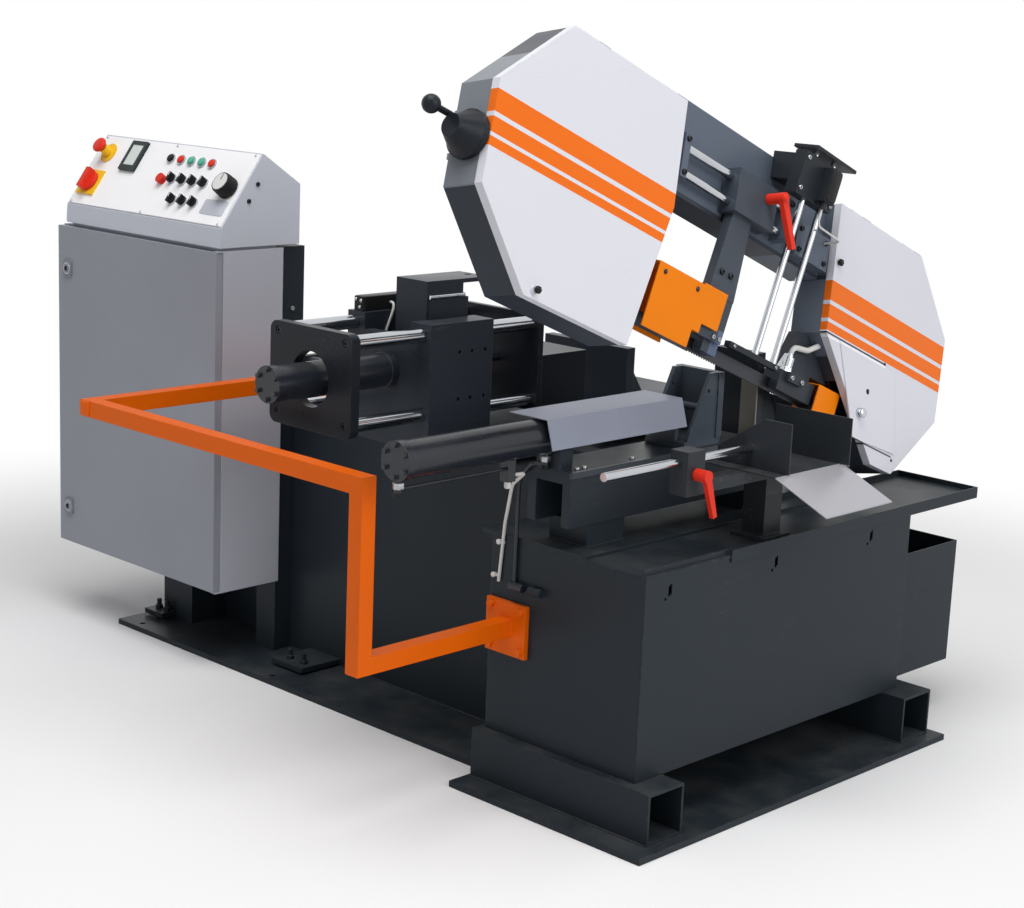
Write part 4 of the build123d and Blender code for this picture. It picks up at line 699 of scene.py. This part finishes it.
guideTrim = dict(padScrews=[(u, 0.040, 0.040) for u in (-0.336, -0.292)],
                 leftPadScrews=[(u, 0.040, 0.040) for u in (-0.676, -0.652)], padScrew=(0.006, 0.005),
                 fittingNut=(-0.326, 0.0523, 0.009),
                 nutProfile=((0.017, 0), (0.017, 0.011), (0.0155, 0.0125)),
                 guardScrews=[(u, 0.118, 0.050) for u in (-0.915, -0.79)], guardScrew=(0.006, 0.004),
                 headScrews=[(u, w, 0.048) for u in (-0.538, -0.405) for w in (0.452, 0.526)],
                 headScrew=(0.0055, 0.005),
                 footScrews=[(u, 0.043, 0.044) for u in (-0.594, -0.416)], footScrew=(0.004, 0.0035),
                 switchBox=(-0.45, 0.486, 0.078), lidHalf=(0.0185, 0.037), lidThick=(0.003, 0.001),
                 leverCap=(-0.583, 0.478, 0.0523), leverCapSize=(0.0105, 0.006))


def onBow(u, w, out):
    return movedTo(bowAxes, (u, w, out))


def upBow(u, w, out):
    # Axes at a bow point that look up the bow
    return facing(toFrame(bowAxes, np.array([u, w, out])), bowUp, bowAlong)


def bowScrews(name, head, places, finish, body):
    addPiece(name, spread(head, [onBow(*place) for place in places]), finish, body)


def makeGuideTrim():
    padScrew = capScrew(*guideTrim["padScrew"])
    bowScrews("fixed_pad_screws", padScrew, guideTrim["padScrews"], "steel", "bow")
    bowScrews("sliding_pad_screws", padScrew, guideTrim["leftPadScrews"], "steel", "sliding_guide")
    nut = turned(guideTrim["nutProfile"], 24, hexRows=(0, 1))
    addPiece("coolant_nut", spread(nut, [upBow(*guideTrim["fittingNut"])]), "chrome", "bow")
    guardScrew = roundHead(*guideTrim["guardScrew"])
    bowScrews("guard_screws", guardScrew, guideTrim["guardScrews"], "blackSteel", "sliding_guide")
    headScrew = capScrew(*guideTrim["headScrew"])
    bowScrews("feeler_head_screws", headScrew, guideTrim["headScrews"], "steel", "bow")
    footScrew = capScrew(*guideTrim["footScrew"])
    bowScrews("feeler_foot_screws", footScrew, guideTrim["footScrews"], "steel", "feeler")
    cover = plate(*guideTrim["lidHalf"], bevelled(*guideTrim["lidThick"]))
    lid = spread(cover, [onBow(*guideTrim["switchBox"])])
    addPiece("feeler_switch_lid", lid, "blackPlastic", "bow")
    cap = spread(roundHead(*guideTrim["leverCapSize"]), [onCase(*guideTrim["leverCap"])])
    addPiece("arm_lever_cap", cap, "redPlastic", "guide_lock")


viseTrim = dict(bedScrews=((-0.618, 0.060), (-0.594, 0.060), (-0.431, 0.060)), bedTop=0.797,
                bedScrew=(0.006, 0.005),
                ports=((-1.11, 0.112), (-0.666, 0.112)), nutLow=0.812, ringLow=0.794,
                nutProfile=((0.0115, 0), (0.0125, 0.0012), (0.0125, 0.0125), (0.0115, 0.0138)),
                ringProfile=((0.0088, 0), (0.0098, 0.0012), (0.0098, 0.0088), (0.0088, 0.01)),
                airCap=(-0.785, 0.112, 0.784),
                airCapProfile=((0.0062, 0), (0.0074, 0.001), (0.0074, 0.013), (0.0055, 0.0165),
                               (0.002, 0.0175)),
                jawBack=0.026, jawScrews=[(y, z) for y in (0.066, 0.151) for z in (0.84, 0.95)],
                jawScrew=(0.007, 0.006),
                clips=((-0.6535, 0.258, 0.594), (-0.6535, 0.271, 0.513)), clip=(0.0065, 0.006))


def makeViseTrim():
    tops = [upward((x, y, viseTrim["bedTop"])) for x, y in viseTrim["bedScrews"]]
    addPiece("bed_screws", spread(capScrew(*viseTrim["bedScrew"]), tops), "steel", "machine")
    nut = turned(viseTrim["nutProfile"], 24, hexRows=(0, 1, 2, 3))
    nuts = spread(nut, [upward((x, y, viseTrim["nutLow"])) for x, y in viseTrim["ports"]])
    addPiece("port_nuts", nuts, "steel", "machine")
    ring = turned(viseTrim["ringProfile"], 24)
    rings = spread(ring, [upward((x, y, viseTrim["ringLow"])) for x, y in viseTrim["ports"]])
    addPiece("port_rings", rings, "blackPlastic", "machine")
    silencer = turned(viseTrim["airCapProfile"], 20)
    cap = spread(silencer, [facing(viseTrim["airCap"], (0, 0, -1), (0, 1, 0))])
    addPiece("valve_cap", cap, "whiteCable", "machine")
    places = [facing(place, (-1, 0, 0)) for place in viseTrim["clips"]]
    clips = spread(roundHead(*viseTrim["clip"]), places)
    addPiece("cable_clips", clips, "whiteCable", "machine")
    back = [facing((viseTrim["jawBack"], y, z), (1, 0, 0)) for y, z in viseTrim["jawScrews"]]
    bolts = spread(hexBolt(*viseTrim["jawScrew"]), back)
    addPiece("fixed_jaw_screws", bolts, "steel", "machine")


feedTrim = dict(rodX=(-0.645, -0.532), rodY=0.523, rodZ=1.125, rodRadius=0.005,
                valve=(-0.622, 0.718, 1.072), valveHalf=(0.072, 0.018), valveThick=(0.036, 0.003),
                valveScrews=((0.708, 1.098), (0.726, 1.100), (0.712, 1.082)), valveScrew=(0.0045, 0.003),
                lead=((-0.606, 0.702, 1.089), (-0.606, 0.672, 1.094), (-0.617, 0.685, 1.058),
                      (-0.629, 0.687, 1.032), (-0.632, 0.693, 1.0)), leadRadius=0.0034,
                topHole=(-0.466, 0.581, 1.162), holeProfile=((0.0085, 0), (0.0085, 0.0004), (0.006, 0.0005)),
                endPlate=-0.926, endBolts=[(y, z) for y in (0.488, 0.722) for z in (0.857, 1.046)],
                endBolt=(0.0078, 0.0075))


def makeFeedTrim():
    run = np.linspace(*feedTrim["rodX"], 12)
    path = np.stack([run, 0 * run + feedTrim["rodY"], 0 * run + feedTrim["rodZ"]], axis=1)
    rod = tube(path, feedTrim["rodRadius"], 16)
    addPiece("riser_rod", rod, "chrome", "feeder")
    box = plate(*feedTrim["valveHalf"], bevelled(*feedTrim["valveThick"]), power=12)
    valve = spread(box, [upward(feedTrim["valve"])])
    addPiece("feed_valve", valve, "blackPlastic", "feeder")
    valveEnd = feedTrim["valve"][0] - feedTrim["valveHalf"][0]
    places = [facing((valveEnd, y, z), (-1, 0, 0)) for y, z in feedTrim["valveScrews"]]
    screws = spread(roundHead(*feedTrim["valveScrew"]), places)
    addPiece("feed_valve_screws", screws, "steel", "feeder")
    lead = tube(curve(feedTrim["lead"]), feedTrim["leadRadius"], 12, (1, 0, 0))
    addPiece("feed_valve_lead", lead, "whiteCable", "feeder")
    hole = spread(turned(feedTrim["holeProfile"], 24), [upward(feedTrim["topHole"])])
    addPiece("riser_hole", hole, "holeShade", "feeder")
    places = [facing((feedTrim["endPlate"], y, z), (-1, 0, 0)) for y, z in feedTrim["endBolts"]]
    bolts = spread(capScrew(*feedTrim["endBolt"]), places)
    addPiece("frame_rod_bolts", bolts, "blackSteel", "feed_clamp")


# Weld runs, from and to, by what they join: those of the stand in plan, those of the rail in space
welds = dict(radius=0.0032, thin=0.9, thinnest=0.8, floorZ=0.0155, bedZ=0.6155, postZ=0.6175,
             floor=[((x, -0.246), (x, 0.298)) for x in (-0.675, -0.555, 0.315, 0.435)]
             + [((-0.3855, y0), (-0.3855, y1)) for y0, y1 in ((0.325, 1.10), (1.236, 1.315))],
             bed=[run for x0, x1 in ((-0.586, -0.461), (-0.014, 0.111))
                  for run in (((x0, 0.0478), (x1, 0.0478)), ((x0 - 0.0002, 0.05), (x0 - 0.0002, 0.162)))],
             post=[((-0.182, y), (-0.118, y)) for y in (-0.1402, -0.0758)]
             + [((-0.1822, -0.14), (-0.1822, -0.076))],
             railFoot=[((-0.6592, 0.204, z), (-0.6592, 0.242, z)) for z in (0.380, 0.420)]
             + [((-0.6592, y, 0.382), (-0.6592, y, 0.418)) for y in (0.203, 0.243)],
             railCorners=(((-1.1275, 0.243, 0.7802), (-1.0885, 0.243, 0.7802)),
                          ((-1.0878, 0.205, 0.4202), (-1.0878, 0.241, 0.4202))))


def levelBeads(runs, z, radius):
    # Beads along runs that are given in plan, all at one height
    return [bead((*start, z), (*end, z), radius) for start, end in runs]


def makeWelds():
    r = welds["radius"]
    thin, thinnest = welds["thin"] * r, welds["thinnest"] * r
    stand = levelBeads(welds["floor"], welds["floorZ"], r)
    stand += levelBeads(welds["bed"], welds["bedZ"], r)
    stand += levelBeads(welds["post"], welds["postZ"], thin)
    addPiece("stand_welds", joined(stand), "darkPaint", "machine")
    rail = [bead(start, end, thin) for start, end in welds["railFoot"]]
    rail += [bead(start, end, thinnest) for start, end in welds["railCorners"]]
    addPiece("rail_welds", joined(rail), "orangePaint", "machine")


standTrim = dict(endCap=(-1.128, 1.218, 0.800), endCapHalf=0.0185, endCapThick=(0.004, 0.0015),
                 mastScrew=(-0.3967, 1.322, 0.9767), mastScrewSize=(0.0065, 0.005),
                 locks=((-0.662, 1.992, 0.330), (-0.662, 1.992, 1.024)),
                 lockPlate=(0.0195, 0.023), lockThick=(0.006, 0.001),
                 lockRing=((0.0172, -0.0005), (0.0172, 0.0035), (0.0165, 0.0065)),
                 lockEye=((0.0065, 0.0069), (0.0065, 0.0092), (0.0058, 0.0096)))


def makeStandTrim():
    makeWelds()
    half = standTrim["endCapHalf"]
    lid = plate(half, half, bevelled(*standTrim["endCapThick"]), power=9)
    cap = spread(lid, [facing(standTrim["endCap"], (-1, 0, 0))])
    addPiece("rail_end_cap", cap, "orangePaint", "machine")
    mast = spread(capScrew(*standTrim["mastScrewSize"]), [facing(standTrim["mastScrew"], (0, -1, 0))])
    addPiece("mast_screw", mast, "steel", "machine")
    places = [facing(place, (-1, 0, 0)) for place in standTrim["locks"]]
    rings = spread(turned(standTrim["lockRing"], 30), places)
    addPiece("door_lock_rings", rings, "steel", "cabinet_leaf")
    lockPlate = plate(*standTrim["lockPlate"], bevelled(*standTrim["lockThick"]), power=9)
    addPiece("door_lock_plates", spread(lockPlate, places), "lockPaint", "cabinet_leaf")
    eyes = spread(turned(standTrim["lockEye"], 20), places)
    addPiece("door_lock_eyes", eyes, "holeShade", "cabinet_leaf")


motorTrim = dict(start=(0.128, 0.289, -0.170), length=0.186, radius=0.0632, clear=0.0008, fins=34,
                 finHigh=0.0055, finRunOut=0.002, finEnd=0.2, cowlGap=0.002,
                 cowl=((0.0605, 0), (0.0623, 0.003), (0.0623, 0.028), (0.0565, 0.0345), (0.04235, 0.0355),
                       (0.04235, 0.0335), (0.03146, 0.0335), (0.03146, 0.0355), (0.02057, 0.0355),
                       (0.02057, 0.0335), (0.00968, 0.0335)))


def makeMotorTrim():
    # Cooling fins: a ring whose radius steps up and down round the motor, carried along its length
    axes = (toFrame(caseAxes, np.array(motorTrim["start"])), caseUp, caseOut, bowAlong)
    length, runOut, low = (motorTrim[k] for k in ("length", "finRunOut", "finEnd"))
    sides = motorTrim["fins"] * 6
    t = np.linspace(0, 2 * pi, sides, endpoint=False)
    wave = np.clip(3 * np.cos(motorTrim["fins"] * t) + 0.5, 0, 1)
    height = np.array([0, runOut, length - runOut, length])[:, None]
    rise = np.array([low, 1, 1, low])[:, None]
    reach = motorTrim["radius"] + motorTrim["clear"] + motorTrim["finHigh"] * wave * rise
    fins = skinned(np.stack([reach * np.cos(t), reach * np.sin(t), height + 0 * t], axis=-1))
    addPiece("motor_fins", spread(fins, [axes]), "blackPaint", "bow")
    end = movedTo(axes, (0, 0, length + motorTrim["cowlGap"]))
    cowl = spread(turned(motorTrim["cowl"], 48), [end])
    addPiece("motor_cowl", cowl, "blackPlastic", "bow")


makeCoverTrim()
makeGuideTrim()
makeViseTrim()
makeFeedTrim()
makeStandTrim()
makeMotorTrim()

# Floor, light and camera
stage = dict(floorSize=60.0, floorColour=(244, 244, 245), floorShade=0.008, floorRoughness=0.9,
             middle=(-0.1, 0.7, 0), shadowTo=1.9, whiteFrom=3.4, floorDrop=-0.0005,
             aim=(-0.2, 0.6, 0.6), worldLight=0.26,
             key=dict(place=(0.6, -9.4, 4.8), size=7.0, power=475.0),
             top=dict(place=(-1.8, -0.3, 6.2), size=4.5, power=300.0))


def whiteRays(tree):
    # 1 for rays that show the background: to the camera, in a reflection, through glass
    path = put(tree, "LightPath")
    seen = put(tree, "Math", dict(operation="MAXIMUM"), n0=path.outputs["Is Camera Ray"],
               n1=path.outputs["Is Glossy Ray"])
    shown = put(tree, "Math", dict(operation="MAXIMUM"), n0=seen.outputs[0],
                n1=path.outputs["Is Transmission Ray"])
    return shown.outputs[0]


def makeFloor():
    # A square sheet under the object: it takes the shadow near the object and fades to plain white
    half, low = stage["floorSize"] / 2, stage["floorDrop"]
    corners = [(-half, -half, low), (half, -half, low), (half, half, low), (-half, half, low)]
    sheet = bpy.data.meshes.new("floor")
    sheet.from_pydata(corners, [], [[0, 1, 2, 3]])
    floor = bpy.data.objects.new("floor", sheet)
    scene.collection.objects.link(floor)
    made = bpy.data.materials.new("floorPale")
    made.use_nodes = True
    tree = made.node_tree
    shader = tree.nodes["Principled BSDF"]
    place = put(tree, "TexCoord").outputs["Object"]
    cloud = put(tree, "TexNoise", Vector=place, Scale=2.0, Detail=3.0)
    shown = mixColour(tree, cloud.outputs["Fac"], *shades(stage["floorColour"], stage["floorShade"]))
    tree.links.new(shown, shader.inputs["Base Color"])
    shader.inputs["Roughness"].default_value = stage["floorRoughness"]
    away = put(tree, "VectorMath", dict(operation="DISTANCE"), n0=place, n1=stage["middle"])
    fade = put(tree, "MapRange", dict(interpolation_type="SMOOTHSTEP"), Value=away.outputs["Value"],
               n1=stage["shadowTo"], n2=stage["whiteFrom"], n3=0.0, n4=1.0)
    white = put(tree, "Emission", Color=(1, 1, 1, 1), Strength=1.0)
    share = put(tree, "Math", dict(operation="MULTIPLY"), n0=fade.outputs[0], n1=whiteRays(tree))
    mixed = put(tree, "MixShader", Fac=share.outputs[0], n1=shader.outputs[0], n2=white.outputs[0])
    tree.links.new(mixed.outputs[0], tree.nodes["Material Output"].inputs["Surface"])
    sheet.materials.append(made)


def makeWorld():
    # Plain white to the camera and in reflections, softer as light
    world = bpy.data.worlds.new("studio")
    scene.world = world
    world.use_nodes = True
    tree = world.node_tree
    tree.nodes.clear()
    lightSide = put(tree, "Background", Color=(1, 1, 1, 1), Strength=stage["worldLight"])
    whiteSide = put(tree, "Background", Color=(1, 1, 1, 1), Strength=1.0)
    mixed = put(tree, "MixShader", Fac=whiteRays(tree), n1=lightSide.outputs[0], n2=whiteSide.outputs[0])
    put(tree, "OutputWorld", Surface=mixed.outputs[0])


def areaLight(name, look):
    lamp = bpy.data.lights.new(name, "AREA")
    lamp.energy = look["power"]
    lamp.size = look["size"]
    light = bpy.data.objects.new(name, lamp)
    light.location = look["place"]
    aim = Vector(stage["aim"]) - Vector(look["place"])
    light.rotation_euler = aim.to_track_quat("-Z", "Y").to_euler()
    scene.collection.objects.link(light)


cameraSet = dict(place=(-3.8466, -2.8309, 1.7806), yaw=46.2307, pitch=12.4283, roll=2.4144, lens=70.23,
                 sensor=36)


def makeCamera():
    # Looks along yaw from +Y towards +X, tips down by pitch, and turns about its own line by roll
    yaw, pitch, roll = (radians(cameraSet[k]) for k in ("yaw", "pitch", "roll"))
    forward = np.array([sin(yaw) * cos(pitch), cos(yaw) * cos(pitch), -sin(pitch)])
    level = np.array([cos(yaw), -sin(yaw), 0])
    above = np.cross(level, forward)
    right = level * cos(roll) + above * sin(roll)
    up = above * cos(roll) - level * sin(roll)
    lensData = bpy.data.cameras.new("photoCamera")
    lensData.lens = cameraSet["lens"]
    lensData.sensor_width = cameraSet["sensor"]
    lensData.sensor_fit = "HORIZONTAL"
    camera = bpy.data.objects.new("photoCamera", lensData)
    turn = Matrix(np.column_stack([right, up, -forward]).tolist()).to_4x4()
    camera.matrix_world = Matrix.Translation(cameraSet["place"]) @ turn
    scene.collection.objects.link(camera)
    scene.camera = camera


makeFloor()
makeWorld()
areaLight("key", stage["key"])
areaLight("top", stage["top"])
makeCamera()
print("stage set")
